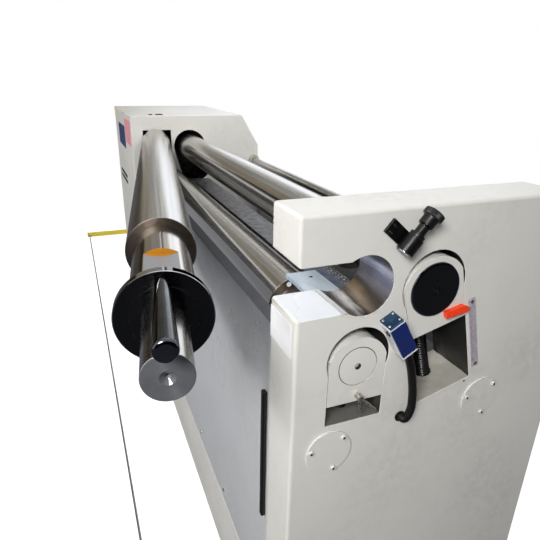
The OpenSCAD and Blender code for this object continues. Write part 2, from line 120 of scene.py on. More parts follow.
# %% [markdown]
# ## The camera and the one cord
# The eye stands at the right end of the machine, a little above it, and looks back along the rolls.
# The limit switch's cable is the only cord: it leaves the gland under the switch, hangs in a stiff bow
# and goes back into the end housing. It is a single smooth curve, because a cable has one long line.

# %% Set up the camera
LENS, SENSOR = 32.23, 36
EYE = Vector((1.818, -0.5704, 1.3135))
RIGHTWARD = Vector((0.3693, 0.9291, 0.0185))
UPWARD = Vector((-0.3513, 0.1211, 0.9284))

camera_data = bpy.data.cameras.new("viewpoint")
camera_data.lens = LENS
camera_data.sensor_width = SENSOR
camera_data.clip_start = 0.01
camera = bpy.data.objects.new("viewpoint", camera_data)
camera.matrix_world = axes_at(EYE, RIGHTWARD, UPWARD, RIGHTWARD.cross(UPWARD))
bpy.context.scene.collection.objects.link(camera)
bpy.context.scene.camera = camera
print("camera at", tuple(round(v, 3) for v in EYE))

# %% [markdown]
# The cable's route is a short list of points given in the model's own frame. Three quadratic bends
# join them. The gland holds its top end, and its bottom end meets the wall of the end housing.

# %% Route of the switch cable
CABLE_R = 0.0072
SWITCH_LEAN = math.radians(30)
SWITCH_AT = Vector((OUT_X, PIVOT.y + 0.046, PIVOT.z - 0.062))
SWITCH_L = 0.068
GLAND_FORWARD = 0.014
SNUG = 0.0003
cable_out = Vector((0, math.sin(SWITCH_LEAN), -math.cos(SWITCH_LEAN)))
cable_exit = SWITCH_AT + GLAND_FORWARD * X_DIR + (SWITCH_L + SNUG) * cable_out


def bend(a, b, c, steps):
    """Points on the quadratic curve from a to c that leans towards b."""
    return [(1 - t) ** 2 * a + 2 * t * (1 - t) * b + t * t * c for t in (i / steps for i in range(steps + 1))]


def cable_route():
    """Straight out of the gland, down in a slight bow, and back to the wall of the housing."""
    mid = cable_exit + Vector((0, 0.022, -0.062))
    turn = cable_exit + Vector((0, 0.029, -0.118))
    corner = turn + Vector((0, -0.004, -0.030))
    into = Vector((OUT_X + 0.008, corner.y - 0.007, corner.z + 0.002))
    wall = Vector((OUT_X + SNUG, into.y, into.z))
    upper = bend(cable_exit + 0.003 * cable_out, cable_exit + 0.030 * cable_out, mid, 8)
    middle = bend(mid, (mid + turn) / 2 + Vector((0, 0.003, 0)), turn, 5)[1:]
    lower = bend(turn, corner, into, 8)[1:]
    return [cable_exit] + upper + middle + lower + [wall]


route = cable_route()

# %% [markdown]
# A curve with a round bevel makes a cable from those points. The bevel is one metre deep and each point
# scales it to the cable's radius, which keeps the curve's box tight.

# %% Lay the cable along its route
def curve_piece(name, points, radius, sides=6):
    """A round curve of one open spline. Each point carries the thickness, so its box fits it closely."""
    data = bpy.data.curves.new(name, "CURVE")
    data.dimensions = "3D"
    data.bevel_depth = 1.0
    data.bevel_resolution = sides
    data.use_fill_caps = True
    spline = data.splines.new("POLY")
    spline.points.add(len(points) - 1)
    for point, place in zip(spline.points, points):
        point.co = (*place, 1)
        point.radius = radius
    made = bpy.data.objects.new(name, data)
    bpy.context.scene.collection.objects.link(made)
    return made


cable = curve_piece("switch_lead", route, CABLE_R)
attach(cable, "frame")
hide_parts("switch_cable")

# %% [markdown]
# ## Shared finishes
# Paint, steel and plastic differ, but the same few effects mark them all: a fine grain, long drawing
# streaks, worn edges and settled dirt. Each effect is one node group, built once, and every material
# places it with its own values. A group hands out only masks and heights. The shader stays outside.

# %% Helpers for shader nodes
def rgb(code):
    """A linear colour from a two-digit-per-channel web colour."""
    channels = [int(code[i:i + 2], 16) / 255 for i in (1, 3, 5)]
    return tuple(c / 12.92 if c <= 0.04045 else ((c + 0.055) / 1.055) ** 2.4 for c in channels) + (1,)


def node(tree, kind, inputs=None, **settings):
    """Adds a node, sets its options, and fills or links its inputs."""
    made = tree.nodes.new(kind if kind.startswith("NodeGroup") else "ShaderNode" + kind)
    for name, value in settings.items():
        setattr(made, name, value)
    for key, value in (inputs or {}).items():
        if isinstance(value, bpy.types.NodeSocket):
            tree.links.new(value, made.inputs[key])
        else:
            made.inputs[key].default_value = value
    return made


print("white is", tuple(round(channel, 2) for channel in rgb("#ffffff")))

# %% Arithmetic, ranges and mixed colours
def maths(tree, operation, a, b=0.5, clamp=False):
    """One sum, product or other step of arithmetic."""
    return node(tree, "Math", {0: a, 1: b}, operation=operation, use_clamp=clamp).outputs[0]


def stretch(tree, value, low, high, to_low=0.0, to_high=1.0):
    """Maps a value between two levels onto another range, and holds it there."""
    inputs = {0: value, 1: low, 2: high, 3: to_low, 4: to_high}
    return node(tree, "MapRange", inputs, clamp=True).outputs[0]


def blend_colour(tree, factor, a, b):
    """Colour a, turning into colour b as the factor goes from 0 to 1."""
    made = node(tree, "Mix", data_type="RGBA")
    for key, value in ((0, factor), (6, a), (7, b)):
        if isinstance(value, bpy.types.NodeSocket):
            tree.links.new(value, made.inputs[key])
        else:
            made.inputs[key].default_value = value
    return made.outputs[2]


print("arithmetic, ranges and mixed colours ready")

# %% [markdown]
# A node group is a small machine with labelled sockets. Its inputs get default values when it is built,
# and every material that uses it may set its own.

# %% Start a node group, and use one
def start_group(name, numbers=(), vectors=(), outputs=("Mask",)):
    """An empty node group with named inputs and outputs."""
    tree = bpy.data.node_groups.new(name, "ShaderNodeTree")
    for label, value in numbers:
        tree.interface.new_socket(label, in_out="INPUT", socket_type="NodeSocketFloat").default_value = value
    for label, value in vectors:
        tree.interface.new_socket(label, in_out="INPUT", socket_type="NodeSocketVector").default_value = value
    for label in outputs:
        tree.interface.new_socket(label, in_out="OUTPUT", socket_type="NodeSocketFloat")
    return tree, tree.nodes.new("NodeGroupInput").outputs, tree.nodes.new("NodeGroupOutput").inputs


def use(tree, group, **values):
    """Places a node group in a material and returns its first output."""
    made = tree.nodes.new("ShaderNodeGroup")
    made.node_tree = group
    for name, value in values.items():
        key = name.replace("_", " ").capitalize()
        if isinstance(value, bpy.types.NodeSocket):
            tree.links.new(value, made.inputs[key])
        else:
            made.inputs[key].default_value = value
    return made.outputs[0]


print("node groups can be built and used")

# %% [markdown]
# Almost every finish starts from a soft cloud. The noise is read in the piece's own coordinates, so it
# stays on the piece when a joint moves. A scale for each axis can draw the cloud out along one of them.

# %% Grain: a soft noise at a chosen scale along each axis
def build_grain():
    tree, given, out = start_group("grain", [("Detail", 3.0)], [("Scale", (100, 100, 100))])
    place = node(tree, "TexCoord").outputs["Object"]
    scaled = node(tree, "VectorMath", {0: place, 1: given["Scale"]}, operation="MULTIPLY").outputs[0]
    cloud = node(tree, "TexNoise", {"Vector": scaled, "Scale": 1.0, "Detail": given["Detail"]})
    tree.links.new(cloud.outputs[0], out["Mask"])
    return tree


GRAIN = build_grain()
print("group", GRAIN.name)

# %% [markdown]
# Worn edges show where a surface turns sharply. The Bevel node rounds the normal near an edge, and where
# the rounded normal and the true one differ there must be an edge. Noise breaks the line up.

# %% Edge wear: a broken mask along the edges
def build_edge_wear():
    tree, given, out = start_group("edge wear", [("Radius", 0.002), ("Breakup", 120.0), ("Amount", 0.5)])
    bevelled = node(tree, "Bevel", {"Radius": given["Radius"]}, samples=4).outputs[0]
    true_normal = node(tree, "NewGeometry").outputs["True Normal"]
    same = node(tree, "VectorMath", {0: bevelled, 1: true_normal}, operation="DOT_PRODUCT").outputs["Value"]
    edge = stretch(tree, same, 0.97, 0.80)
    place = node(tree, "TexCoord").outputs["Object"]
    chips = node(tree, "TexNoise", {"Vector": place, "Scale": given["Breakup"], "Detail": 4.0}).outputs[0]
    broken = stretch(tree, chips, 0.45, 0.62)
    worn = maths(tree, "MULTIPLY", edge, broken)
    tree.links.new(maths(tree, "MULTIPLY", worn, given["Amount"], clamp=True), out["Mask"])
    return tree


EDGE_WEAR = build_edge_wear()
print("group", EDGE_WEAR.name)

# %% [markdown]
# Dirt gathers in patches, and inside a patch it is speckled. Multiplying a large noise by a fine one
# gives both at once: the specks show only where the large noise is high.

# %% Grime: uneven dirt in large soft patches with finer specks
def build_grime():
    tree, given, out = start_group("grime", [("Patch", 6.0), ("Specks", 90.0), ("Amount", 0.3)])
    place = node(tree, "TexCoord").outputs["Object"]
    patch = node(tree, "TexNoise", {"Vector": place, "Scale": given["Patch"], "Detail": 5.0}).outputs[0]
    specks = node(tree, "TexNoise", {"Vector": place, "Scale": given["Specks"], "Detail": 3.0}).outputs[0]
    both = maths(tree, "MULTIPLY", stretch(tree, patch, 0.42, 0.75), stretch(tree, specks, 0.30, 0.70))
    tree.links.new(maths(tree, "MULTIPLY", both, given["Amount"], clamp=True), out["Mask"])
    return tree


GRIME = build_grime()
print("group", GRIME.name)

# %% [markdown]
# Rolled and ground steel is streaked: long lines run along the roll, and very fine rings run round it
# from the grinding wheel. Two stretched noises give both, and one number says how much of each.

# %% Streaks: long lines along local X crossed by fine grinding rings
def build_streaks():
    tree, given, out = start_group("streaks", [("Lines", 60.0), ("Rings", 1500.0), ("Share", 0.5)])
    place = node(tree, "SeparateXYZ", {0: node(tree, "TexCoord").outputs["Object"]}).outputs
    slow = maths(tree, "MULTIPLY", place[0], 1.5)
    lines_at = node(tree, "CombineXYZ", {0: slow, 1: maths(tree, "MULTIPLY", place[1], given["Lines"]),
                                         2: maths(tree, "MULTIPLY", place[2], given["Lines"])}).outputs[0]
    lines = node(tree, "TexNoise", {"Vector": lines_at, "Scale": 1.0, "Detail": 6.0}).outputs[0]
    rings_at = node(tree, "CombineXYZ", {0: maths(tree, "MULTIPLY", place[0], given["Rings"]),
                                         1: place[1], 2: place[2]}).outputs[0]
    rings = node(tree, "TexNoise", {"Vector": rings_at, "Scale": 1.0, "Detail": 2.0}).outputs[0]
    mixed = node(tree, "Mix", {0: given["Share"], 2: rings, 3: lines}, data_type="FLOAT").outputs[0]
    tree.links.new(mixed, out["Mask"])
    return tree


STREAKS = build_streaks()
print("group", STREAKS.name)

# %% [markdown]
# ## Materials
# Each material is one Principled shader. Its constant values are set straight on the shader's sockets.
# Only what changes over the surface comes in through links: colour, roughness and the bump's height.

# %% A material with a shader, a bump and an output
def start_material(name, roughness=0.5, metallic=0.0, **constants):
    made = bpy.data.materials.new(name)
    made.use_nodes = True
    tree = made.node_tree
    tree.nodes.clear()
    shader = node(tree, "BsdfPrincipled", {"Roughness": roughness, "Metallic": metallic})
    for label, value in constants.items():
        shader.inputs[label.replace("_", " ")].default_value = value
    output = node(tree, "OutputMaterial")
    tree.links.new(shader.outputs[0], output.inputs["Surface"])
    return made, tree, shader


def set_input(tree, shader, label, value):
    tree.links.new(value, shader.inputs[label])


def add_bump(tree, shader, height, strength, distance=0.0004):
    bump = node(tree, "Bump", {"Strength": strength, "Distance": distance, "Height": height})
    tree.links.new(bump.outputs[0], shader.inputs["Normal"])


print("material helper ready")

# %% [markdown]
# The housings wear a warm light-grey machine enamel: a satin coat with a faint orange peel, slightly
# uneven in tone, rubbed thin at the corners and a little dirty where hands and oil reach it. A panel's
# enamel can also darken towards its top edge: that is painted shade from the rolls above it.

# %% Machine enamel for housings and panels
PEEL = 260.0
TOP_SHADE_FROM, TOP_SHADE_TO = 0.80, 0.93


def enamel(name, colour, dirt=0.25, roughness=0.36, chips="#8f8d88", wear=0.35, top_shade=0.0, coat=0.15,
           shine=0.5):
    """Satin paint. If a top shade amount is given, it darkens towards its top edge as painted shade."""
    made, tree, shader = start_material(name, Coat_Weight=coat, Coat_Roughness=0.25, Specular_IOR_Level=shine)
    tone = use(tree, GRAIN, scale=(3.0, 3.0, 3.0), detail=4.0)
    cloudy = blend_colour(tree, stretch(tree, tone, 0.3, 0.7, 0.0, 0.35), rgb(colour), rgb(chips))
    uneven = maths(tree, "MULTIPLY", stretch(tree, tone, 0.35, 0.65), 0.12)
    base = blend_colour(tree, uneven, rgb(colour), cloudy)
    grime = use(tree, GRIME, patch=5.0, specks=70.0, amount=dirt)
    base = blend_colour(tree, grime, base, rgb("#6b675f"))
    # Painted shade: the colour darkens towards the panel's top edge, as if shaded by the rolls above.
    if top_shade:
        height = node(tree, "SeparateXYZ", {0: node(tree, "TexCoord").outputs["Object"]}).outputs[2]
        ragged = maths(tree, "ADD", height, stretch(tree, tone, 0.2, 0.8, -0.06, 0.06))
        base = blend_colour(tree, stretch(tree, ragged, TOP_SHADE_FROM, TOP_SHADE_TO, 0.0, top_shade), base, rgb("#3f4145"))
    worn = use(tree, EDGE_WEAR, radius=0.0025, breakup=150.0, amount=wear)
    base = blend_colour(tree, worn, base, rgb("#f2f0ec"))
    set_input(tree, shader, "Base Color", base)
    peel_height = use(tree, GRAIN, scale=(PEEL, PEEL, PEEL), detail=1.5)
    set_input(tree, shader, "Roughness", stretch(tree, tone, 0.25, 0.75, roughness - 0.06, roughness + 0.08))
    add_bump(tree, shader, peel_height, 0.12, 0.0003)
    return made


housing_paint = enamel("housing enamel", "#d3d1cb")
# The apron's enamel, also worn by the rear panel, carries painted shade near its top edge.
apron_paint = enamel("apron enamel", "#b9babc", dirt=0.22, roughness=0.30, chips="#98999b", top_shade=0.80,
                     wear=0.15)
# Near-black enamel: painted shade for the slot walls and the bed beam between the rolls.
shade_black_paint = enamel("near-black enamel for painted shade", "#151414", dirt=0.8, roughness=0.55, chips="#5b5850")
# A lighter, bluer enamel: painted light on the mouth's upward faces.
lip_light_paint = enamel("lip enamel with painted light", "#dcdfe3", dirt=0.15, roughness=0.25, chips="#cfd2d6")
# Dark hem enamel: painted shade on the apron's top faces.
hem_shade_paint = enamel("hem enamel with painted shade", "#494b50", dirt=0.5, roughness=0.6, chips="#34363a", wear=0.05,
                   coat=0.0, shine=0.12)
# Greys for the slot floors: painted shade. The tie bar's nuts wear the same grey as the rear slot floor.
floor_shade_and_nut_paint = enamel("slot floor shade and nut enamel", "#a3a096", dirt=0.7, roughness=0.5, chips="#7d7a70")
low_floor_shade_paint = enamel("lower slot floor shade enamel", "#66645f", dirt=0.8, roughness=0.5, chips="#4c4a46")
yellow_paint = enamel("yellow enamel", "#e3cf3a", dirt=0.3, chips="#b9a520", wear=0.2)
print("enamels:", housing_paint.name, apron_paint.name, shade_black_paint.name, yellow_paint.name)

# %% [markdown]
# The rolls are ground forgings. Light drags along them in lengthwise bands, because the grinding rings
# spread a reflection along the roll. An anisotropic shader with a tangent that circles the axis does
# the same, and the streak group breaks the bands into fine lines.

# %% Ground and turned steel
def ground_steel(name, colour, shade, roughness, lines=55.0, rings=1800.0, share=0.6, anisotropy=0.6,
                 spots=0.15, metallic=1.0):
    """Steel with streaks along local X. Its highlight is drawn out along X too."""
    made, tree, shader = start_material(name, metallic=metallic, Anisotropic=anisotropy)
    streaks = use(tree, STREAKS, lines=lines, rings=rings, share=share)
    base = blend_colour(tree, stretch(tree, streaks, 0.35, 0.65), rgb(shade), rgb(colour))
    stain = use(tree, GRIME, patch=7.0, specks=160.0, amount=spots)
    base = blend_colour(tree, stain, base, rgb("#4a4034"))
    set_input(tree, shader, "Base Color", base)
    set_input(tree, shader, "Roughness", stretch(tree, streaks, 0.3, 0.7, roughness * 0.85, roughness * 1.2))
    add_bump(tree, shader, streaks, 0.010, 0.00015)
    shader.inputs["Anisotropic Rotation"].default_value = 0.25
    tangent = node(tree, "Tangent", direction_type="RADIAL", axis="X")
    tree.links.new(tangent.outputs[0], shader.inputs["Tangent"])
    return made


roll_steel = ground_steel("ground roll steel", "#dad9d7", "#b7b4af", 0.17, lines=60.0, rings=900.0,
                          share=0.85, spots=0.04)
neck_steel = ground_steel("turned neck steel", "#dfdcd8", "#b5afa7", 0.12, lines=24.0, rings=1200.0,
                          share=0.4, spots=0.06)
# Dark faced steel; on the low rolls it also paints the shade at the end-housing shoulder and neck.
shoulder_and_neck_shade_steel = ground_steel("faced shoulder steel and painted neck shade", "#7d746b", "#5a5149", 0.44, lines=30.0, rings=900.0,
                              share=0.3)
shaft_steel = ground_steel("shaft steel", "#a2a3a7", "#8b8c90", 0.40, lines=20.0, rings=1500.0, share=0.3,
                           metallic=0.30, anisotropy=0.3)
end_steel = ground_steel("shaft end steel", "#85878b", "#6a6c70", 0.30, lines=60.0, rings=900.0, share=0.4,
                         anisotropy=0.7, metallic=0.6)
rim_steel = ground_steel("dark polished rim", "#eceef2", "#3a3c42", 0.10, lines=14.0, rings=300.0, share=0.7,
                         anisotropy=0.2, spots=0.05)
flat_steel = ground_steel("milled flat", "#adadb0", "#939396", 0.42, lines=30.0, rings=700.0, share=0.2,
                          spots=0.1)
print("steels:", roll_steel.name, neck_steel.name, shoulder_and_neck_shade_steel.name, shaft_steel.name)

# %% [markdown]
# Metal that isn't ground has no streaks. A soft cloud of tone, a little dirt and bright worn edges are
# enough for bar, zinc, castings and small plates. Only the scale of the cloud tells them apart.

# %% Plain metals: bright bar, zinc, oiled and burnished steel, and the two small plates
def plain_metal(name, colour, shade, roughness, scale=(60, 60, 60), bump=0.1, dirt=0.15, wear=0.3,
                metallic=1.0):
    """Metal with a soft cloud of tone, some dirt and bright worn edges."""
    made, tree, shader = start_material(name, metallic=metallic)
    cloud = use(tree, GRAIN, scale=scale, detail=5.0)
    base = blend_colour(tree, stretch(tree, cloud, 0.35, 0.65), rgb(shade), rgb(colour))
    grime = use(tree, GRIME, patch=9.0, specks=120.0, amount=dirt)
    base = blend_colour(tree, grime, base, rgb("#2b2722"))
    worn = use(tree, EDGE_WEAR, radius=0.0012, breakup=220.0, amount=wear)
    base = blend_colour(tree, worn, base, rgb("#e4e2de"))
    set_input(tree, shader, "Base Color", base)
    set_input(tree, shader, "Roughness", stretch(tree, cloud, 0.3, 0.7, roughness * 0.8, roughness * 1.3))
    add_bump(tree, shader, cloud, bump, 0.0003)
    return made


bright_steel = plain_metal("bright bar", "#cfcdca", "#a4a19d", 0.22, scale=(5, 90, 90))
zinc_steel = plain_metal("zinc fastener", "#d9d6cf", "#a9a59b", 0.28, scale=(300, 300, 300))
dark_steel = plain_metal("oiled dark steel", "#4a4846", "#262524", 0.38, dirt=0.5)
scale_metal = plain_metal("etched scale metal", "#bcb4bc", "#a39ba4", 0.5, scale=(200, 200, 200), bump=0.05,
                          metallic=0.15)
# The guide plate's pale blue tint is painted sky light.
guide_sky_tint_metal = plain_metal("pale blue guide plate with painted sky light", "#c6d2dd", "#aebccb", 0.34, scale=(20, 60, 60),
                          metallic=0.3, wear=0.5)
burnished_black = plain_metal("burnished black", "#62656a", "#494c50", 0.13, scale=(20, 20, 20), bump=0.03,
                              dirt=0.1, wear=0.2)
print("plain metals:", bright_steel.name, zinc_steel.name, dark_steel.name, burnished_black.name)

# %% [markdown]
# The lock disc and the rear cap are gloss black, and the latch is black too, but matt. The switch is
# moulded in pale and blue plastic. Paint this thick and moulded plastic behave alike: one even colour
# with a fine texture, some dust, and paler edges where hands have rubbed them.

# %% Gloss black, moulded plastics and rubber
def moulded(name, colour, roughness, coat=0.0, speck=0.06, texture=500.0, bump=0.15, edge="#8a8a8a",
            wear=0.15, shine=0.5):
    """An even colour with a fine texture, dust and rubbed edges."""
    made, tree, shader = start_material(name, Coat_Weight=coat, Coat_Roughness=0.08, Specular_IOR_Level=shine)
    cloud = use(tree, GRAIN, scale=(9.0, 9.0, 9.0), detail=4.0)
    base = blend_colour(tree, stretch(tree, cloud, 0.35, 0.7, 0.0, 0.25), rgb(colour), rgb("#000000"))
    dust = use(tree, GRIME, patch=10.0, specks=200.0, amount=speck)
    base = blend_colour(tree, dust, base, rgb("#8d8a84"))
    worn = use(tree, EDGE_WEAR, radius=0.0008, breakup=260.0, amount=wear)
    base = blend_colour(tree, worn, base, rgb(edge))
    set_input(tree, shader, "Base Color", base)
    set_input(tree, shader, "Roughness", stretch(tree, cloud, 0.3, 0.7, roughness * 0.8, roughness * 1.25))
    fine = use(tree, GRAIN, scale=(texture, texture, texture), detail=2.0)
    add_bump(tree, shader, fine, bump, 0.0002)
    return made


gloss_black = moulded("gloss black", "#030304", 0.20, coat=0.2, bump=0.02, texture=200.0, speck=0.004,
                      wear=0.12, shine=0.35)
satin_black = moulded("satin black metal", "#060607", 0.34, bump=0.1, speck=0.02, wear=0.5, shine=0.28)
black_plastic = moulded("black moulding", "#0a0a0b", 0.36, speck=0.02, wear=0.35, shine=0.3)
black_rubber = moulded("black cable rubber", "#080808", 0.42, texture=900.0, speck=0.03, wear=0.0, shine=0.3)
blue_plastic = moulded("deep blue moulding", "#0b2160", 0.30, edge="#5d78b4", speck=0.04)
blue_end = moulded("blue end moulding", "#133450", 0.26, edge="#9fb4cf", speck=0.05)
pale_plastic = moulded("pale moulding", "#e9eaee", 0.35, edge="#ffffff", speck=0.08)
orange_plastic = moulded("orange moulding", "#f23d06", 0.38, edge="#ff9a6a", speck=0.06)
label_white = moulded("blank label", "#f1f1f2", 0.30, edge="#d7d7d7", speck=0.10, bump=0.02)
label_pink = moulded("blank pink label", "#e79aa6", 0.34, edge="#f4ccd2", speck=0.10, bump=0.02)
label_blue = moulded("blank blue label", "#27406f", 0.30, edge="#8fa3c8", speck=0.10, bump=0.02)
ochre_paint = moulded("ochre step", "#a9700f", 0.30, edge="#f4c873", speck=0.05)
print("mouldings:", gloss_black.name, black_plastic.name, blue_plastic.name, orange_plastic.name)

# %% [markdown]
# The sheet between the rolls is a mottled grey. Towards the end housing it is painted almost black as
# shade, with bright specks, and a painted shadow of the guide plate runs along its front edge there.

# %% Sheet with bright specks, painted shade and a painted shadow
END_SHADE_FROM, END_SHADE_TO = 0.55, 0.72
SPECKS_FROM, SPECKS_TO = 0.006, 0.012


def speckled_sheet():
    """Mottled grey, painted almost black as shade near the end housing, with bright specks behind the front edge
    and a painted shadow in front of them.
    """
    made, tree, shader = start_material("speckled sheet with painted shade", metallic=0.35, Specular_IOR_Level=0.3)
    where = node(tree, "SeparateXYZ", {0: node(tree, "TexCoord").outputs["Object"]}).outputs
    cloud = use(tree, GRAIN, scale=(45.0, 45.0, 45.0), detail=5.0)
    mottled = blend_colour(tree, stretch(tree, cloud, 0.35, 0.65), rgb("#3a3b3d"), rgb("#838487"))
    # Painted shade: the colour goes almost black towards the end housing.
    near = stretch(tree, where[0], END_SHADE_FROM, END_SHADE_TO)
    base = blend_colour(tree, near, mottled, rgb("#1e2024"))
    specks = use(tree, GRAIN, scale=(230.0, 230.0, 230.0), detail=1.0)
    speck_zone = stretch(tree, where[1], SPECKS_FROM, SPECKS_TO)
    # Painted shadow: a dark blue band along the front edge near the end housing, beside the guide plate.
    plate_shadow = maths(tree, "MULTIPLY", near, maths(tree, "SUBTRACT", 1.0, speck_zone))
    base = blend_colour(tree, plate_shadow, base, rgb("#2f394d"))
    bright = maths(tree, "MULTIPLY", stretch(tree, specks, 0.62, 0.68), speck_zone)
    base = blend_colour(tree, maths(tree, "MULTIPLY", bright, near), base, rgb("#f2f2f0"))
    set_input(tree, shader, "Base Color", base)
    set_input(tree, shader, "Roughness", stretch(tree, cloud, 0.3, 0.7, 0.35, 0.6))
    add_bump(tree, shader, specks, 0.3, 0.0004)
    return made


speckled_shade_sheet = speckled_sheet()
print("speckled sheet with painted shade:", speckled_shade_sheet.name)

# %% [markdown]
# ## Shaping helpers
# Two ways of shaping cover the machine. What is turned on a lathe is a profile of (distance along,
# radius) points swept round local X, with each corner broken by a small arc. What is sawn, cast or
# welded is the node's own solid, cleaned up and bevelled along its sharp edges by a chosen width.

# %% Put a mesh on show
SMOOTH_ANGLE = math.radians(38)


def show(name, shape, material, stands_for=(), on=None, place=None, weighted=True):
    """Turns a bmesh into a piece that rides on its body. It may stand for CAD nodes."""
    materials = material if isinstance(material, (list, tuple)) else [material]
    data = bpy.data.meshes.new(name)
    bmesh.ops.recalc_face_normals(shape, faces=shape.faces)
    shape.to_mesh(data)
    shape.free()
    for one in materials:
        data.materials.append(one)
    data.shade_smooth()
    data.set_sharp_from_angle(angle=SMOOTH_ANGLE)
    piece = bpy.data.objects.new(name, data)
    bpy.context.scene.collection.objects.link(piece)
    if place is not None:
        piece.matrix_world = place
    if weighted:
        piece.modifiers.new("even normals", "WEIGHTED_NORMAL").keep_sharp = True
    nodes = [stands_for] if isinstance(stands_for, str) else list(stands_for)
    if nodes:
        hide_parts(*nodes)
    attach(piece, on or BODY_OF[nodes[0]])
    return piece


print("show() ready")

# %% [markdown]
# A CAD solid has edges of no width, which never catch light. Its mesh also cuts flat faces into triangles.
# So the corners are joined, flat faces are made whole again, and only then are the sharp edges bevelled.
# A test on each edge says which ones are wanted, so one piece can have soft and crisp edges.

# %% Bevel a CAD node's solid
def cleaned(node_name):
    """A bmesh of a CAD node with joined corners and whole flat faces."""
    shape = bmesh.new()
    shape.from_mesh(frame["nodes"][node_name].data)
    bmesh.ops.remove_doubles(shape, verts=shape.verts, dist=2e-5)
    bmesh.ops.dissolve_limit(shape, angle_limit=math.radians(0.4), verts=shape.verts, edges=shape.edges)
    return shape


def sharp_edges(shape, wanted, angle):
    """The wanted edges whose two faces meet at more than an angle."""
    limit = math.radians(angle)
    return [e for e in shape.edges if len(e.link_faces) == 2 and e.calc_face_angle() > limit and wanted(e)]


def bevel(shape, width, segments=2, wanted=lambda edge: True, angle=34):
    """Rounds the sharp edges that are wanted."""
    edges = sharp_edges(shape, wanted, angle)
    bmesh.ops.bevel(shape, geom=edges, offset=width, segments=segments, profile=0.5, affect="EDGES",
                    clamp_overlap=True)
    return shape


def paint_faces(shape, index, test):
    """Gives faces whose centre passes the test another material."""
    for face in shape.faces:
        if test(face.calc_center_median(), face.normal):
            face.material_index = index


print("bevel helpers ready")

# %% [markdown]
# Blender has a Screw modifier for turning, but rings built by hand can do more here: a ring's radius may
# follow the angle, which makes flats, hexagons and knurls out of the same few lines of code.

# %% Break the corners of a profile
def eased(profile, size, steps=3):
    """Breaks each corner of a profile with a small arc."""
    out = [profile[0]]
    for before, corner, after in zip(profile, profile[1:], profile[2:]):
        a, c, b = (Vector((p[0], p[1])) for p in (before, corner, after))
        to_a, to_b = a - c, b - c
        cut = min(size, to_a.length * 0.45, to_b.length * 0.45)
        if cut < 1e-6 or to_a.angle(to_b) > math.radians(176):
            out.append(corner)
            continue
        start, end = c + to_a.normalized() * cut, c + to_b.normalized() * cut
        out += [tuple(p) for p in bend(start, c, end, steps)]
    return out + [profile[-1]]


print("corners can be eased")

# %% Rings, and the skin between them
def ring_points(shape, x, radius, segments):
    """A ring of points at x. The radius is a number or a function of the angle."""
    if not callable(radius) and radius < 1e-7:
        return [shape.verts.new((x, 0, 0))]
    points = []
    for i in range(segments):
        a = math.tau * i / segments
        r = radius(a) if callable(radius) else radius
        points.append(shape.verts.new((x, r * math.cos(a), r * math.sin(a))))
    return points


def join_rings(shape, low, high):
    """Faces between two rings. A ring of one point closes the shape there."""
    n = max(len(low), len(high))
    if len(low) == len(high) == 1:
        return
    for i in range(n):
        j = (i + 1) % n
        if len(low) == 1:
            shape.faces.new((low[0], high[i], high[j]))
        elif len(high) == 1:
            shape.faces.new((low[i], high[0], low[j]))
        else:
            shape.faces.new((low[i], high[i], high[j], low[j]))


print("rings can be skinned")

# %% Turn a profile round local X
def turned(profile, segments=72):
    """A mesh turned round local X from (along, radius) points."""
    shape = bmesh.new()
    rings = [ring_points(shape, x, r, segments) for x, r in profile]
    for low, high in zip(rings, rings[1:]):
        join_rings(shape, low, high)
    bmesh.ops.dissolve_degenerate(shape, edges=shape.edges, dist=1e-7)
    return shape


def hexagon(across):
    """Radius of a hexagon of that width across its flats, at any angle."""
    return lambda a: across / 2 / math.cos((a + math.pi / 6) % (math.pi / 3) - math.pi / 6)


print("lathe ready")

# %% [markdown]
# Three outlines come back all over the machine: a bar with two ends, a stud that stands on a face, and
# a ring that stands on a face. Each gets a name, so that a piece's own line says only its sizes.

# %% Plain bars, studs and collars
def round_bar(start, end, radius, edge, segments):
    """A round bar with both ends closed and broken."""
    return turned(eased([(start, 0), (start, radius), (end, radius), (end, 0)], edge), segments)


def stud(radius, height, edge, segments=32):
    """A round stud that stands on a face at local X 0."""
    return turned(eased([(0, radius), (height, radius), (height, 0)], edge, 2), segments)


def collar(inner, outer, length, edge, steps, segments):
    """A ring that stands on a face at local X 0."""
    return turned(eased([(0, inner), (0, outer), (length, outer), (length, inner)], edge, steps), segments)


print("bars, studs and collars ready")

# %% [markdown]
# Small flat things are bevelled boxes. Many equal screws become one mesh, because they never move apart
# from each other and one piece is easier to name and to export than thirty.

# %% Small blocks, and copies placed along a surface
def block(low, high, width=0.0006, segments=2, shape=None):
    """A bevelled box between two corners, added to a mesh."""
    own = bmesh.new()
    low, high = Vector(low), Vector(high)
    size = high - low
    place = Matrix.Translation((low + high) / 2) @ Matrix.Diagonal((*size, 1))
    bmesh.ops.create_cube(own, size=1, matrix=place)
    bevel(own, min(width, min(size) * 0.45), segments)
    return merge(shape, own)


def merge(shape, extra, place=None):
    """Adds an extra bmesh, moved by a matrix, to a shape, and frees the extra one."""
    if place is not None:
        bmesh.ops.transform(extra, matrix=place, verts=extra.verts)
    if shape is None:
        return extra
    data = bpy.data.meshes.new("joined")
    extra.to_mesh(data)
    extra.free()
    shape.from_mesh(data)
    bpy.data.meshes.remove(data)
    return shape


def many(builder, places):
    """One bmesh with a copy of a small shape at each matrix."""
    shape = bmesh.new()
    for place in places:
        merge(shape, builder(), place)
    return shape


print("block(), merge() and many() ready")

# %% [markdown]
# Fasteners are small lathe jobs too. A socket screw is a drum with a hexagonal well. A hexagon bolt is a
# ring whose radius follows a hexagon. A pan screw is a low dome with a recess for the driver.

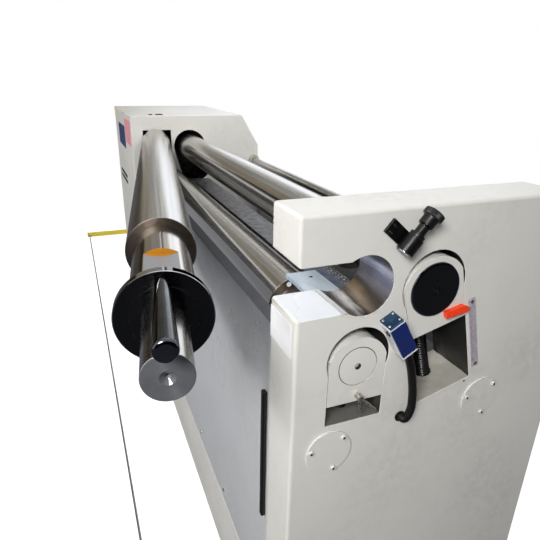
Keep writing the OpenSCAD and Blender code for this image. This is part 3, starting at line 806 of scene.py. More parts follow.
# %% Screws and bolts, with their heads on local X
def socket_screw(head_r, head_h, well, deep):
    """A drum with a hexagonal well."""
    outer = eased([(0, head_r), (head_h, head_r), (head_h, well * 0.60)], head_r * 0.12, 2)
    return turned(outer + [(head_h, hexagon(well)), (head_h - deep, hexagon(well)), (head_h - deep, 0)], 24)


def hex_bolt(across, head_h, washer):
    """A hexagon head on a washer."""
    base = [(0, washer), (0.0015, washer), (0.0015, hexagon(across)), (head_h * 0.85, hexagon(across))]
    return turned(base + [(head_h, across * 0.46), (head_h, 0)], 36)


def pan_screw(head_r, head_h):
    """A low dome with a small round recess."""
    dome = turned([(0, head_r), (head_h * 0.5, head_r * 0.95), (head_h * 0.9, head_r * 0.6),
                   (head_h, head_r * 0.28), (head_h * 0.6, head_r * 0.24), (head_h * 0.55, 0)], 20)
    return dome


def facing(point, direction, up=Z_DIR):
    """A matrix that puts local X on a direction at a point."""
    if abs(direction.normalized().dot(up)) > 0.95:
        up = Y_DIR
    return line(Vector(point), Vector(direction), up)


print("fasteners ready")

# %% [markdown]
# ## The rolls
# All three rolls are turned and ground, so each is one lathe profile with broken corners. The open top
# roll is the showpiece: a wide ground body, a faced shoulder, a sleeve with two flats for the bore, and
# a plain shaft whose end keeps the centre hole it was turned on.

# %% Top roll: body, faced shoulder, shaft and centre hole
ROLL_R = girth("top_roll", PIVOT, ROLL_DIR)
SLEEVE_R = girth("lock_sleeve", PIVOT, ROLL_DIR)
DISC_R = girth("lock_disc", PIVOT, ROLL_DIR)
sleeve_from, sleeve_to = reach("lock_sleeve", PIVOT, ROLL_DIR)
SHAFT_R, JOURNAL_R, CENTRE_R, CENTRE_DEEP = 0.0295, 0.022, 0.006, 0.012
ROLL_EDGE = 0.0014
body_from = (HEAD_X - PIVOT.x) + 0.020


def top_roll_shape():
    """Journal, ground body, faced shoulder and shaft, with the centre hole drilled into the end."""
    shoulder = sleeve_from - SNUG
    outline = [(roll_end, 0), (roll_end, JOURNAL_R), (body_from, JOURNAL_R), (body_from, ROLL_R),
               (shoulder, ROLL_R), (shoulder, SHAFT_R), (shaft_to, SHAFT_R), (shaft_to, CENTRE_R * 1.5)]
    hole = [(shaft_to - 0.005, CENTRE_R * 0.55), (shaft_to - CENTRE_DEEP, CENTRE_R * 0.5),
            (shaft_to - CENTRE_DEEP, 0)]
    shape = turned(eased(outline, ROLL_EDGE) + hole, 128)
    paint_faces(shape, 1, lambda c, n: abs(c.x - shoulder) < 0.0005
                and math.hypot(c.y, c.z) > SHAFT_R + 0.001)
    paint_faces(shape, 2, lambda c, n: c.x > disc_to - 0.001)
    paint_faces(shape, 3, lambda c, n: c.x > shaft_to - CENTRE_DEEP - 0.001 and abs(n.x) > 0.3)
    return shape


show("top_roll_turned", top_roll_shape(), [roll_steel, shoulder_and_neck_shade_steel, shaft_steel, end_steel], "top_roll",
     place=OPEN_LINE)
print("top roll radius", round(ROLL_R * 1000, 1), "mm")

# %% [markdown]
# The sleeve is round where it leaves the shoulder and has two flats where it sits in the bore. The
# radius of each ring is a function of the angle, so the same lathe cuts the flats. The small step where
# a flat begins is painted ochre, and so is a shallow curve on the flat below it, which makes a lens.

# %% Lock sleeve with its two flats
FLATS = 0.0416
RUN_OUT = 0.016
ON_FACE = 0.0003
flat_from = (IN_X - PIVOT.x) - 0.011
slip_r = SHAFT_R + 0.00008


def flatted(radius, half):
    """Radius of a round bar with a flat above and a flat below."""
    return lambda a: min(radius, half / max(abs(math.sin(a)), 1e-6))


def on_flat(point):
    """True for a point on one of the two flats."""
    return abs(abs(point.z) - FLATS) < ON_FACE


def sleeve_shape():
    """The sleeve, with a ring on the flat that is bent to a curve for the edge of the painted lens."""
    flat, flat_edge = flatted(SLEEVE_R, FLATS), flatted(SLEEVE_R - 0.001, FLATS - 0.001)
    outline = [(sleeve_from, slip_r), (sleeve_from, SLEEVE_R - 0.0015), (sleeve_from + 0.0015, SLEEVE_R),
               (flat_from, SLEEVE_R), (flat_from, flat), (flat_from + RUN_OUT, flat),
               (sleeve_to - 0.001, flat), (sleeve_to, flat_edge), (sleeve_to, slip_r)]
    shape = turned(outline, 192)
    half_width = math.sqrt(SLEEVE_R ** 2 - FLATS ** 2)
    paint_faces(shape, 2, lambda c, n: c.x > flat_from + RUN_OUT / 2 and on_flat(c))
    paint_faces(shape, 1, lambda c, n: abs(c.x - flat_from) < ON_FACE)
    paint_faces(shape, 1, lambda c, n: flat_from + ON_FACE < c.x < flat_from + RUN_OUT * 0.6 and on_flat(c))
    for vertex in shape.verts:
        if abs(vertex.co.x - flat_from - RUN_OUT) < 0.0001 and on_flat(vertex.co):
            vertex.co.x = flat_from + 0.0006 + RUN_OUT * max(1 - (vertex.co.y / half_width) ** 2, 0)
    return shape


show("lock_sleeve_turned", sleeve_shape(), [neck_steel, ochre_paint, flat_steel], "lock_sleeve",
     place=OPEN_LINE)
print("sleeve radius", round(SLEEVE_R * 1000, 1), "mm, flats at", FLATS * 1000)

# %% [markdown]
# The lock disc carries the handle. Its rim has one long slot for the latch pin, between two thin lips.
# The disc is swept section by section round the axis. Where the slot begins and ends, a plain section
# and a slotted one stand at the same angle, which makes the slot's end walls.

# %% Lock disc with its rim slot
SLOT_FROM, SLOT_TO = math.radians(12), math.radians(50)
SLOT_DEEP, SLOT_LIP, BACK_LIP = 0.016, 0.002, 0.0018
GROOVE_R, GROOVE_DEEP = 0.046, 0.0008
DISC_EDGE = 0.0012


def disc_section(slotted):
    """Points (along, radius) round the disc's section, the same number with and without the slot."""
    edge = DISC_EDGE
    back, lip = disc_from + BACK_LIP, disc_to - SLOT_LIP
    floor = DISC_R - SLOT_DEEP if slotted else DISC_R
    rear_rim = [(disc_from, slip_r), (disc_from, DISC_R - edge), (disc_from + edge, DISC_R), (back, DISC_R)]
    slot = [(back, floor), (lip, floor)]
    front_rim = [(lip, DISC_R), (disc_to - edge, DISC_R), (disc_to - edge * 0.3, DISC_R - edge * 0.3),
                 (disc_to, DISC_R - edge)]
    groove = [(disc_to, GROOVE_R + 0.0012), (disc_to - GROOVE_DEEP, GROOVE_R + 0.0006),
              (disc_to - GROOVE_DEEP, GROOVE_R - 0.0006), (disc_to, GROOVE_R - 0.0012)]
    return rear_rim + slot + front_rim + groove + [(disc_to, slip_r)]


def disc_shape():
    """Sweeps the section from one slot end round to the other, and closes it through the slot."""
    shape = bmesh.new()
    plain_steps, slot_steps = 130, 16
    plain_span = math.tau - (SLOT_TO - SLOT_FROM)
    angles = [(SLOT_TO + plain_span * i / plain_steps, False) for i in range(plain_steps + 1)]
    angles += [(SLOT_FROM + (SLOT_TO - SLOT_FROM) * i / slot_steps, True) for i in range(slot_steps + 1)]
    rows = []
    for angle, slotted in angles:
        y, z = math.sin(angle), math.cos(angle)
        rows.append([shape.verts.new((x, r * y, r * z)) for x, r in disc_section(slotted)])
    for row, after in zip(rows, rows[1:] + rows[:1]):
        for i in range(len(row)):
            j = (i + 1) % len(row)
            shape.faces.new((row[i], row[j], after[j], after[i]))
    bmesh.ops.remove_doubles(shape, verts=shape.verts, dist=1e-6)
    bmesh.ops.dissolve_degenerate(shape, edges=shape.edges, dist=1e-7)
    paint_faces(shape, 1, lambda c, n: math.hypot(c.y, c.z) > DISC_R - 0.0009)
    return shape


show("lock_disc_slotted", disc_shape(), [gloss_black, rim_steel], "lock_disc", place=OPEN_LINE)
print("disc radius", round(DISC_R * 1000, 1), "mm")

# %% [markdown]
# The handle is a short bar of burnished black steel, thicker at its end so that a hand doesn't slip off.
# A large arc on the last corner of its profile makes the dome.

# %% Lock handle: a tapered bar with a domed end
handle_from, handle_to = reach("lock_handle", PIVOT, ROLL_DIR)
ROOT_R, TIP_R = 0.0095, 0.0137
HANDLE_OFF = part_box("lock_handle")[1].z - PIVOT.z - TIP_R


def handle_shape():
    outline = [(handle_from, ROOT_R), (handle_to, TIP_R), (handle_to, 0)]
    return turned(eased(outline, 0.0055, 6), 64)


handle_line = OPEN_LINE @ Matrix.Translation((0, 0, HANDLE_OFF))
show("lock_handle_turned", handle_shape(), burnished_black, "lock_handle", place=handle_line)
print("handle", round((handle_to - handle_from) * 1000), "mm long")

# %% [markdown]
# The two lower rolls are alike, so one function turns both. Their bodies end short of the end housing,
# and the necks run on into the bearing blocks; that shoulder and neck are painted darker, as shade. The
# bottom one has a small pale plug in its face.

# %% Bottom and rear rolls with their necks
NECK_R = 0.036
LOW_BODY_FROM, LOW_BODY_TO = HEAD_X - 0.030, IN_X - 0.150


def low_roll(name, node_name, axis):
    """A roll on its own level axis, with a neck at each end. Gives its radius."""
    low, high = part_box(node_name)
    radius = girth(node_name, axis, X_DIR)
    outline = [(low.x, 0), (low.x, NECK_R), (LOW_BODY_FROM, NECK_R), (LOW_BODY_FROM, radius),
               (LOW_BODY_TO, radius), (LOW_BODY_TO, NECK_R), (high.x, NECK_R), (high.x, 0)]
    shape = turned(eased(outline, ROLL_EDGE), 128)
    # Painted shade: the shoulder and the neck towards the end housing get the darker steel.
    paint_faces(shape, 1, lambda c, n: c.x > LOW_BODY_TO - 0.0005 and abs(n.x) > 0.7)
    paint_faces(shape, 1, lambda c, n: c.x > LOW_BODY_TO + 0.002)
    show(name, shape, [roll_steel, shoulder_and_neck_shade_steel], node_name,
         place=Matrix.Translation((0, axis.y, axis.z)))
    return radius


bottom_r = low_roll("bottom_roll_turned", "bottom_roll", BOTTOM_AXIS)
rear_r = low_roll("rear_roll_turned", "rear_roll", REAR_AXIS)
plug_place = facing((LOW_BODY_TO, BOTTOM_AXIS.y - 0.014, BOTTOM_AXIS.z + 0.045), X_DIR)
show("bottom_roll_plug", stud(0.0052, 0.0012, 0.0005), pale_plastic, on="bottom_roll",
     place=plug_place)
print("low rolls' radii", round(bottom_r * 1000, 1), round(rear_r * 1000, 1), "mm")

# %% [markdown]
# ## Bearing blocks and the bore
# Each roll neck turns in a painted block that slides in a slot of the end housing. The bottom block's cap
# is painted over, so only a ring groove and a small centre hole show. The rear block wears a gloss black
# cap with a shallow centre recess. The bore itself is lined with a steel bush.

# %% Bottom bearing block and its flush cap
BLOCK_EDGE = 0.0012


def bearing_block(name, node_name):
    """A painted block with its sharp edges broken."""
    show(name, bevel(cleaned(node_name), BLOCK_EDGE, 2, angle=50), housing_paint, node_name)


bearing_block("bottom_bearing_block", "bottom_block_right")
CAP_BREAK, HOLE_R, HOLE_DEEP = 0.0010, 0.005, 0.006


def flush_cap():
    """A disc that fills the block's bore, with a broken edge and a drilled centre."""
    low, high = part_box("bottom_block_cap")
    r = (high.z - low.z) / 2
    outline = [(low.x, 0), (low.x, r), (high.x - CAP_BREAK, r), (high.x, r - CAP_BREAK * 1.3),
               (high.x, HOLE_R + 0.0008), (high.x - 0.0008, HOLE_R), (high.x - HOLE_DEEP, HOLE_R),
               (high.x - HOLE_DEEP, 0)]
    shape = turned(outline, 96)
    paint_faces(shape, 1, lambda c, n: c.x > high.x - HOLE_DEEP + 0.0005 and abs(n.x) < 0.9)
    paint_faces(shape, 2, lambda c, n: abs(c.x - high.x + HOLE_DEEP) < ON_FACE)
    return shape


show("bottom_flush_cap", flush_cap(), [housing_paint, dark_steel, pale_plastic], "bottom_block_cap",
     place=Matrix.Translation((0, BOTTOM_AXIS.y, BOTTOM_AXIS.z)))
print("bottom block ready")

# %% [markdown]
# The rear cap is the glossiest black piece of the machine. Its rim is turned to a soft round, which
# catches a thin ring of light, and its face falls by a hair towards a shallow recess in the middle.

# %% Rear bearing block and its gloss black cap
bearing_block("rear_bearing_block", "rear_block_right")
RECESS_R, RECESS_DEEP = 0.0085, 0.0018
cap_low, cap_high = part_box("rear_block_cap")
cap_rim = girth("rear_block_cap", REAR_AXIS, X_DIR)


def gloss_cap():
    """A spigot inside the block, and outside it a cap with a soft rim and a shallow centre recess."""
    front = cap_high.x
    spigot = [(cap_low.x, 0), (cap_low.x, NECK_R), (OUT_X, NECK_R), (OUT_X, cap_rim)]
    rim = [(front - 0.0030, cap_rim), (front - 0.0010, cap_rim - 0.0009), (front, cap_rim - 0.0030),
           (front - 0.0003, cap_rim - 0.005)]
    recess = [(front - 0.0004, 0.0115), (front, 0.0105), (front - 0.0003, 0.0088),
              (front - RECESS_DEEP, RECESS_R), (front - RECESS_DEEP, 0)]
    shape = turned(spigot + rim + recess, 128)
    paint_faces(shape, 1, lambda c, n: 0.1 < abs(n.x) < 0.97 and c.x > OUT_X
                and math.hypot(c.y, c.z) > cap_rim - 0.0035)
    return shape


show("rear_gloss_cap", gloss_cap(), [gloss_black, burnished_black], "rear_block_cap",
     place=Matrix.Translation((0, REAR_AXIS.y, REAR_AXIS.z)))
show("rear_cap_screw", pan_screw(0.0052, 0.0014), satin_black, on="rear_carriage",
     place=facing((cap_high.x - RECESS_DEEP, REAR_AXIS.y, REAR_AXIS.z), X_DIR))
print("rear block ready")

# %% [markdown]
# The bush that lines the bore is turned steel with ragged smears of oil. Round the bore its colour runs
# through bands of painted reflection, painted shade at the top and a painted highlight on the lower lip.
# Which band is where depends on the angle round the bore, so the angle drives a colour ramp.

# %% Bore lining: oil smears, and painted reflections, shade and lip highlight
def bush_material():
    """Bands of painted reflection and shade round the bore, with ragged borders."""
    made, tree, shader = start_material("bush steel with painted reflections and shade", metallic=0.5)
    place = node(tree, "SeparateXYZ", {0: node(tree, "TexCoord").outputs["Object"]}).outputs
    angle = maths(tree, "ARCTAN2", place[1], maths(tree, "MULTIPLY", place[2], -1.0))
    smear = use(tree, GRAIN, scale=(9.0, 60.0, 60.0), detail=4.0)
    bent = maths(tree, "ADD", angle, stretch(tree, smear, 0.3, 0.7, -0.16, 0.16))
    around = stretch(tree, maths(tree, "ADD", bent, maths(tree, "MULTIPLY", place[0], 2.2)), -1.2, 3.0)
    bands = node(tree, "ValToRGB", {0: around})
    ramp = bands.color_ramp
    # Painted light: bright stops for the lip's highlight and reflections, near-black towards the top as shade.
    stops = [(0.00, "#b9b8b6"), (0.10, "#7f7c78"), (0.20, "#56524e"), (0.27, "#c9c4c2"), (0.31, "#3b342f"),
             (0.38, "#8c7a64"), (0.45, "#4d4640"), (0.54, "#7c7b85"), (0.63, "#8d90a6"), (0.70, "#d5d9ec"),
             (0.76, "#8587a0"), (0.84, "#44454c"), (0.92, "#1c1c1e")]
    while len(ramp.elements) < len(stops):
        ramp.elements.new(0.5)
    for element, (position, code) in zip(ramp.elements, stops):
        element.position = position
        element.color = rgb(code)
    smeared = stretch(tree, smear, 0.4, 0.7, 0, 0.5)
    set_input(tree, shader, "Base Color", blend_colour(tree, smeared, bands.outputs[0], rgb("#57504a")))
    set_input(tree, shader, "Roughness", stretch(tree, smear, 0.3, 0.7, 0.18, 0.36))
    add_bump(tree, shader, smear, 0.15, 0.0003)
    return made


bush_steel_painted_light = bush_material()
print("bore lining's finish:", bush_steel_painted_light.name)

# %% [markdown]
# The bush isn't a full ring: it opens to the front, where the roll leaves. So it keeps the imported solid
# and is not turned. It is moved to its own axis first, because its finish asks for the angle round it.

# %% Bore bush: a turned steel lining with an open front
BUSH_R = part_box("bore_bush")[1].z - BORE.z


def inner_edge(edge):
    """True for the bush's edges that don't meet the housing's face."""
    middle = (edge.verts[0].co + edge.verts[1].co) / 2
    return math.hypot(middle.y - BORE.y, middle.z - BORE.z) < BUSH_R - 0.001


def bore_bush():
    shape = cleaned("bore_bush")
    bevel(shape, 0.0008, 2, inner_edge, angle=50)
    paint_faces(shape, 1, lambda c, n: n.x > 0.6)
    paint_faces(shape, 2, lambda c, n: abs(n.z) > 0.8 and c.y < BORE.y - 0.025)
    bmesh.ops.transform(shape, matrix=Matrix.Translation(-BORE), verts=shape.verts)
    return shape


show("bore_lining", bore_bush(), [bush_steel_painted_light, housing_paint, bright_steel], "bore_bush",
     place=Matrix.Translation(BORE))
print("bore lining ready")

# %% [markdown]
# A thin plate covers the lip below the mouth, so that the sleeve slides in over hard metal. Its pale blue
# tint is painted sky light.
# It is flat stock with a fine broken edge and two screws sunk into its top.

# %% Guide plate in front of the bore, with its two screws
guide_low, guide_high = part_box("mouth_guide")
show("mouth_guide_plate", block(guide_low, guide_high, 0.0008), guide_sky_tint_metal, "mouth_guide")
guide_screws = [facing((guide_low.x + x, (guide_low.y + guide_high.y) / 2 + 0.008, guide_high.z), Z_DIR)
                for x in (0.030, 0.105)]
show("mouth_guide_screws", many(lambda: pan_screw(0.0036, 0.0010), guide_screws), dark_steel, on="frame")
print("guide plate ready")

# %% [markdown]
# ## The end housing
# The near housing is a thick welded box. Its open mouth lets the top roll's sleeve out to the front, and
# two slots guide the bearing blocks. The long outer corners are ground to a soft round; the slots'
# edges are sharper. The walls inside the slots are painted near-black and their floors a darker grey, both
# as painted shade, and the mouth's lip is painted lighter, as painted light.

# %% End housing
OUTER_ROUND, SLOT_ROUND = 0.0062, 0.0012


def on_outline(edge):
    """True on the long outer corners of the end housing and inside its mouth."""
    middle = (edge.verts[0].co + edge.verts[1].co) / 2
    near_front = middle.y < RIGHT_LOW.y + 0.002
    near_back = middle.y > RIGHT_HIGH.y - 0.090 and middle.z > RIGHT_HIGH.z - 0.150
    return near_front or near_back or middle.z > RIGHT_HIGH.z - 0.002


def round_the_bush(edge):
    """True where the bore's edge meets the bush, which stays sharp so that the joint doesn't show."""
    middle = (edge.verts[0].co + edge.verts[1].co) / 2
    return abs(math.hypot(middle.y - BORE.y, middle.z - BORE.z) - BUSH_R) < 0.0015


def slot_wall(centre, normal):
    """True on the walls inside the two slots, away from the bush and the outer faces."""
    inside = RIGHT_LOW.y + 0.004 < centre.y < RIGHT_HIGH.y - 0.110 and 0.03 < centre.z < RIGHT_HIGH.z - 0.03
    from_bore = math.hypot(centre.y - BORE.y, centre.z - BORE.z)
    in_slot = centre.y > BORE.y + 0.10 or centre.z < BORE.z - 0.07
    return inside and in_slot and from_bore > BUSH_R + 0.003 and abs(normal.x) < 0.3 and normal.z < 0.8


def slot_floor(centre, normal):
    """True on the upward faces at the bottom of the two slots."""
    return normal.z > 0.8 and RIGHT_LOW.z + 0.3 < centre.z < BORE.z - 0.06 and centre.y > BORE.y - 0.060


def end_housing():
    """The welded box, bevelled in two widths. Painted shade darkens slot walls and floors; painted light brightens
    the lip.
    """
    shape = cleaned("right_housing")
    bevel(shape, OUTER_ROUND, 4, on_outline)
    bevel(shape, SLOT_ROUND, 2, lambda e: not on_outline(e) and not round_the_bush(e), angle=50)
    # Painted shade: near-black slot walls, a grey rear slot floor and a darker lower slot floor.
    paint_faces(shape, 1, slot_wall)
    paint_faces(shape, 2, lambda c, n: slot_floor(c, n) and c.y > BORE.y + 0.08)
    paint_faces(shape, 3, lambda c, n: slot_floor(c, n) and c.y < BORE.y + 0.08)
    # Painted light: the mouth's upward faces get the lighter enamel.
    paint_faces(shape, 4, lambda c, n: n.z > 0.9 and c.y < BORE.y and abs(c.z - BORE.z) < 0.05)
    return shape


HOUSING_PAINTS = [housing_paint, shade_black_paint, floor_shade_and_nut_paint, low_floor_shade_paint, lip_light_paint]
show("end_housing", end_housing(), HOUSING_PAINTS, "right_housing")
print("end housing bevelled")

# %% [markdown]
# ## The gear housing and the stand
# The gear housing is the same welded box as the end housing, only longer. Its window shows the yoke that
# the top roll swings on, and two stadium-shaped holes take the other rolls. What is cut into the box gets
# dark steel inside, as painted shade. The sheet panels, rails and cover plates are simpler: flat stock
# with broken edges.

# %% Gear housing
SLOPE_D, SLOPE_H = 0.086, 0.145


def cut_into_head(centre):
    """True for the faces of the window and the roll holes, but not for the outline or the rear slope."""
    edge = 0.003
    inside = all(low + edge < c < high - edge for low, c, high in zip(HEAD_LOW, centre, HEAD_HIGH))
    return inside and (HEAD_HIGH.y - centre.y) / SLOPE_D + (HEAD_HIGH.z - centre.z) / SLOPE_H > 1.05


def on_box(edge):
    """True for the box's own edges: neither they nor their faces belong to a hole."""
    middles = [(edge.verts[0].co + edge.verts[1].co) / 2]
    middles += [face.calc_center_median() for face in edge.link_faces]
    return not any(cut_into_head(middle) for middle in middles)


def round_a_hole(edge):
    """True where a hole meets the side of the box that faces the rolls."""
    holes = any(cut_into_head(f.calc_center_median()) for f in edge.link_faces)
    return holes and any(f.normal.x > 0.9 for f in edge.link_faces)


def gear_housing():
    shape = cleaned("left_housing")
    bevel(shape, 0.0045, 3, on_box)
    bevel(shape, 0.0010, 2, round_a_hole, angle=50)
    # Painted shade: the faces of the window and the roll holes get dark steel.
    paint_faces(shape, 1, lambda c, n: cut_into_head(c))
    return shape


show("gear_housing", gear_housing(), [housing_paint, dark_steel], "left_housing")
print("gear housing bevelled")

# %% [markdown]
# Everything that is cut from sheet or bar needs the same care: its own solid, a broken edge of the
# right width, and a paint. Heavier stock gets wider edges. The apron's top hem is painted dark, as shade.

# %% Panels, rails, stand and feet: flat stock with broken edges
def broken_edges(node_name, material, width, segments=2):
    """A node's own solid with its sharp edges broken."""
    shape = bevel(cleaned(node_name), width, segments, angle=50)
    return show(node_name + "_finished", shape, material, node_name)


broken_edges("left_stand", housing_paint, 0.0030, 3)
broken_edges("base_rails", housing_paint, 0.0040, 3)
broken_edges("foot_plates", dark_steel, 0.0015)
broken_edges("head_end_cover", housing_paint, 0.0010)
broken_edges("rear_panel", apron_paint, 0.0012)
apron_shape = bevel(cleaned("apron"), 0.0022, 3, angle=50)
# Painted shade: the apron's top faces get the dark hem enamel.
paint_faces(apron_shape, 1, lambda c, n: n.z > 0.7 and c.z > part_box("apron")[1].z - 0.01)
show("apron_finished", apron_shape, [apron_paint, hem_shade_paint], "apron")
# Painted shade: the bed beam between the rolls gets near-black enamel.
broken_edges("bed_beam", shade_black_paint, 0.0025)
broken_edges("guide_strip", speckled_shade_sheet, 0.0006)
broken_edges("apron_handle", black_plastic, 0.0030, 4)
print("flat stock finished")

# %% [markdown]
# Screws hold the panels on. They sit in even rows just inside each panel's edge, as a fitter would mark
# them out. The rear of the machine has the most, because its panel comes off for cleaning.

# %% Rows of screws on the panels
def row(start, end, count, direction):
    """Even places from one point to another, facing a direction."""
    start, end = Vector(start), Vector(end)
    return [facing(start.lerp(end, i / (count - 1)), direction) for i in range(count)]


apron_low, apron_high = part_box("apron")
panel_low, panel_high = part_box("rear_panel")
cover_low, cover_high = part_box("head_end_cover")
low_z, left_x, right_x = apron_low.z + 0.038, apron_low.x + 0.10, apron_high.x - 0.06
apron_row = row((left_x, apron_low.y, low_z), (right_x, apron_low.y, low_z), 7, -Y_DIR)
show("apron_screws", many(lambda: pan_screw(0.0055, 0.0028), apron_row), zinc_steel, on="frame")

inset = 0.018
panel_rows = []
left_x, right_x = panel_low.x + inset, panel_high.x - inset
for z in (panel_low.z + inset, panel_high.z - inset):
    panel_rows += row((left_x, panel_high.y, z), (right_x, panel_high.y, z), 8, Y_DIR)
show("rear_panel_bolts", many(lambda: hex_bolt(0.013, 0.006, 0.010), panel_rows), zinc_steel, on="frame")

cover_rows = []
low_z, high_z = cover_low.z + inset, cover_high.z - inset
for y in (cover_low.y + inset, cover_high.y - inset):
    cover_rows += row((cover_low.x, y, low_z), (cover_low.x, y, high_z), 4, -X_DIR)
show("end_cover_screws", many(lambda: socket_screw(0.0055, 0.0045, 0.005, 0.0025), cover_rows), zinc_steel,
     on="frame")
print("screws on the panels:", len(apron_row) + len(panel_rows) + len(cover_rows))

# %% [markdown]
# A round bar at the back holds the housings apart. The nuts clamp it, and they are part of what makes
# the machine look bolted together and not cast in one.

# %% Tie bar with a nut and washer against each housing
TIE_LOW, TIE_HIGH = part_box("rear_tie_bar")
TIE_AXIS = Vector((0, (TIE_LOW.y + TIE_HIGH.y) / 2, (TIE_LOW.z + TIE_HIGH.z) / 2))
TIE_R = (TIE_HIGH.z - TIE_LOW.z) / 2
WASHER_R, WASHER_T, NUT_ACROSS, NUT_T = 0.029, 0.003, 0.048, 0.016


def tie_nut():
    """A washer and a hexagon nut with a chamfered face."""
    washer = [(0, TIE_R), (0, WASHER_R), (WASHER_T, WASHER_R)]
    nut = [(WASHER_T, hexagon(NUT_ACROSS)), (NUT_T - 0.002, hexagon(NUT_ACROSS)), (NUT_T, 0.0225),
           (NUT_T, TIE_R)]
    return turned(washer + nut, 72)


show("tie_bar", round_bar(TIE_LOW.x, TIE_HIGH.x, TIE_R, 0.001, 64), bright_steel, "rear_tie_bar",
     place=Matrix.Translation(TIE_AXIS))
tie_ends = [facing(TIE_AXIS + TIE_LOW.x * X_DIR, X_DIR), facing(TIE_AXIS + TIE_HIGH.x * X_DIR, -X_DIR)]
show("tie_bar_nuts", many(tie_nut, tie_ends), floor_shade_and_nut_paint, on="frame")
print("tie bar ready")

# %% [markdown]
# Inside the gear housing the top roll sits in a yoke, and the yoke turns about an upright pin. Little
# of them shows through the window, so broken edges and oiled dark steel are enough.

# %% Yoke and pin of the swing pivot, and the far bearing blocks
for name in ("top_yoke", "bottom_block_left", "rear_block_left"):
    broken_edges(name, dark_steel, BLOCK_EDGE)
pin_low, pin_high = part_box("swing_pin")
pin_r = (pin_high.x - pin_low.x) / 2
show("swing_pin_turned", round_bar(pin_low.z, pin_high.z, pin_r, 0.002, 48), dark_steel, "swing_pin",
     place=facing((PIVOT.x, PIVOT.y, 0), Z_DIR))
print("swing pivot ready")

# %% [markdown]
# Small things on the gear housing: two black plugs on top, three plain plates on the housings' fronts,
# a yellow corner mark and a vent of two slots. The plates are blank and only differ in colour.

# %% Plugs, blank plates and vent
def plug(r, h):
    """A drum with a shallow round recess."""
    return turned(eased([(0, r), (h, r), (h, r * 0.7), (h * 0.7, r * 0.66), (h * 0.7, 0)], 0.0008, 2), 64)


plug_low, plug_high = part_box("top_plugs")
plug_h = plug_high.z - plug_low.z
BIG_R, SMALL_R = 0.018, 0.009
big_at = facing((plug_high.x - BIG_R, plug_high.y - BIG_R, HEAD_HIGH.z), Z_DIR)
small_at = facing((HEAD_HIGH.x - 0.055, plug_low.y + SMALL_R - 0.0015, HEAD_HIGH.z), Z_DIR)
plugs = merge(merge(None, plug(BIG_R, plug_h), big_at), merge(None, plug(SMALL_R, plug_h), small_at))
show("top_plugs_turned", plugs, satin_black, "top_plugs")

plates = bevel(cleaned("blank_labels"), 0.0003, 1, angle=50)
between_plates = HEAD_HIGH.x - 0.28
paint_faces(plates, 1, lambda c, n: between_plates < c.x < HEAD_HIGH.x)
paint_faces(plates, 2, lambda c, n: c.x < between_plates)
show("blank_plates", plates, [label_white, label_pink, label_blue], "blank_labels")

front_y = HEAD_LOW.y
VENT_FROM, VENT_TO, VENT_H = -1.13, -0.86, 0.016
vent = None
for z in (0.765, 0.795):
    vent = block((VENT_FROM, front_y - 0.0016, z), (VENT_TO, front_y + 0.0006, z + VENT_H), 0.0005, 1, vent)
show("vent_slots", vent, black_plastic, on="frame")
corner_low = (HEAD_LOW.x, front_y - 0.0008, 1.082)
corner_high = (HEAD_LOW.x + 0.030, front_y + 0.0006, 1.138)
show("corner_mark", block(corner_low, corner_high, 0.0003, 1), yellow_paint, on="frame")
print("small things on the gear housing ready")

# %% [markdown]
# A wire along the front stops the machine when a foot pulls it. It is taut between two fixed arms, so
# it is a straight thin bar here and not a hanging cord. A clamp closes on it at each end.

# %% Trip wire, its two arms and the clamps at its ends
broken_edges("trip_arms", yellow_paint, 0.0012)
wire_low, wire_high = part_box("trip_wire")
wire_r = (wire_high.z - wire_low.z) / 2
wire_at = Matrix.Translation((0, (wire_low.y + wire_high.y) / 2, (wire_low.z + wire_high.z) / 2))
show("trip_wire_turned", round_bar(wire_low.x, wire_high.x, wire_r, 0.0005, 20), bright_steel, "trip_wire",
     place=wire_at)


def wire_clamp():
    return collar(wire_r, 0.0065, 0.012, 0.0008, 3, 24)


clamp_places = [wire_at @ Matrix.Translation((x, 0, 0)) for x in (wire_low.x + 0.0085, wire_high.x - 0.0205)]
show("trip_wire_clamps", many(wire_clamp, clamp_places), zinc_steel, on="frame")
print("trip wire ready")

# %% [markdown]
# ## The latch
# A spring latch pins the lock disc when the roll is closed. A bracket holds a round barrel, and a knurled
# knob on top of it lifts the pin. Nearly all of it is black, so the shape reads from its highlights, and
# the edges are broken generously for that.

# %% Latch bracket with its screws
latch_x = sum(corner.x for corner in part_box("latch_pin")) / 2
LATCH_BASE = Vector((latch_x, PIVOT.y, PIVOT.z))
latch_line = line(LATCH_BASE, LATCH_UP, X_DIR)
latch_side = X_DIR.cross(LATCH_UP).normalized()
bracket = bevel(cleaned("latch_bracket"), 0.0009, 2, angle=40)
show("latch_bracket_cast", bracket, satin_black, "latch_bracket")
bracket_low, bracket_high = reach("latch_bracket", LATCH_BASE, LATCH_UP)
arm_tip = max(reach("latch_bracket", LATCH_BASE, latch_side), key=abs)
arm_sign = 1 if arm_tip > 0 else -1
PLATE_T, SCREW_IN = 0.005, 0.008


def on_plate(out, up):
    """A point on the bracket's outer face, so far out from the latch's axis and so far up it."""
    return Vector((OUT_X + PLATE_T, PIVOT.y, PIVOT.z)) + latch_side * arm_sign * out + LATCH_UP * up


middle_up = (bracket_low + 0.005 + bracket_high) / 2
screw_spots = [on_plate(abs(arm_tip) - SCREW_IN, middle_up + up) for up in (0.004, -0.007)]
screw_places = [facing(spot, X_DIR) for spot in screw_spots]
show("latch_plate_screws", many(lambda: stud(0.0042, 0.0016, 0.0005, 24), screw_places), satin_black,
     on="frame")
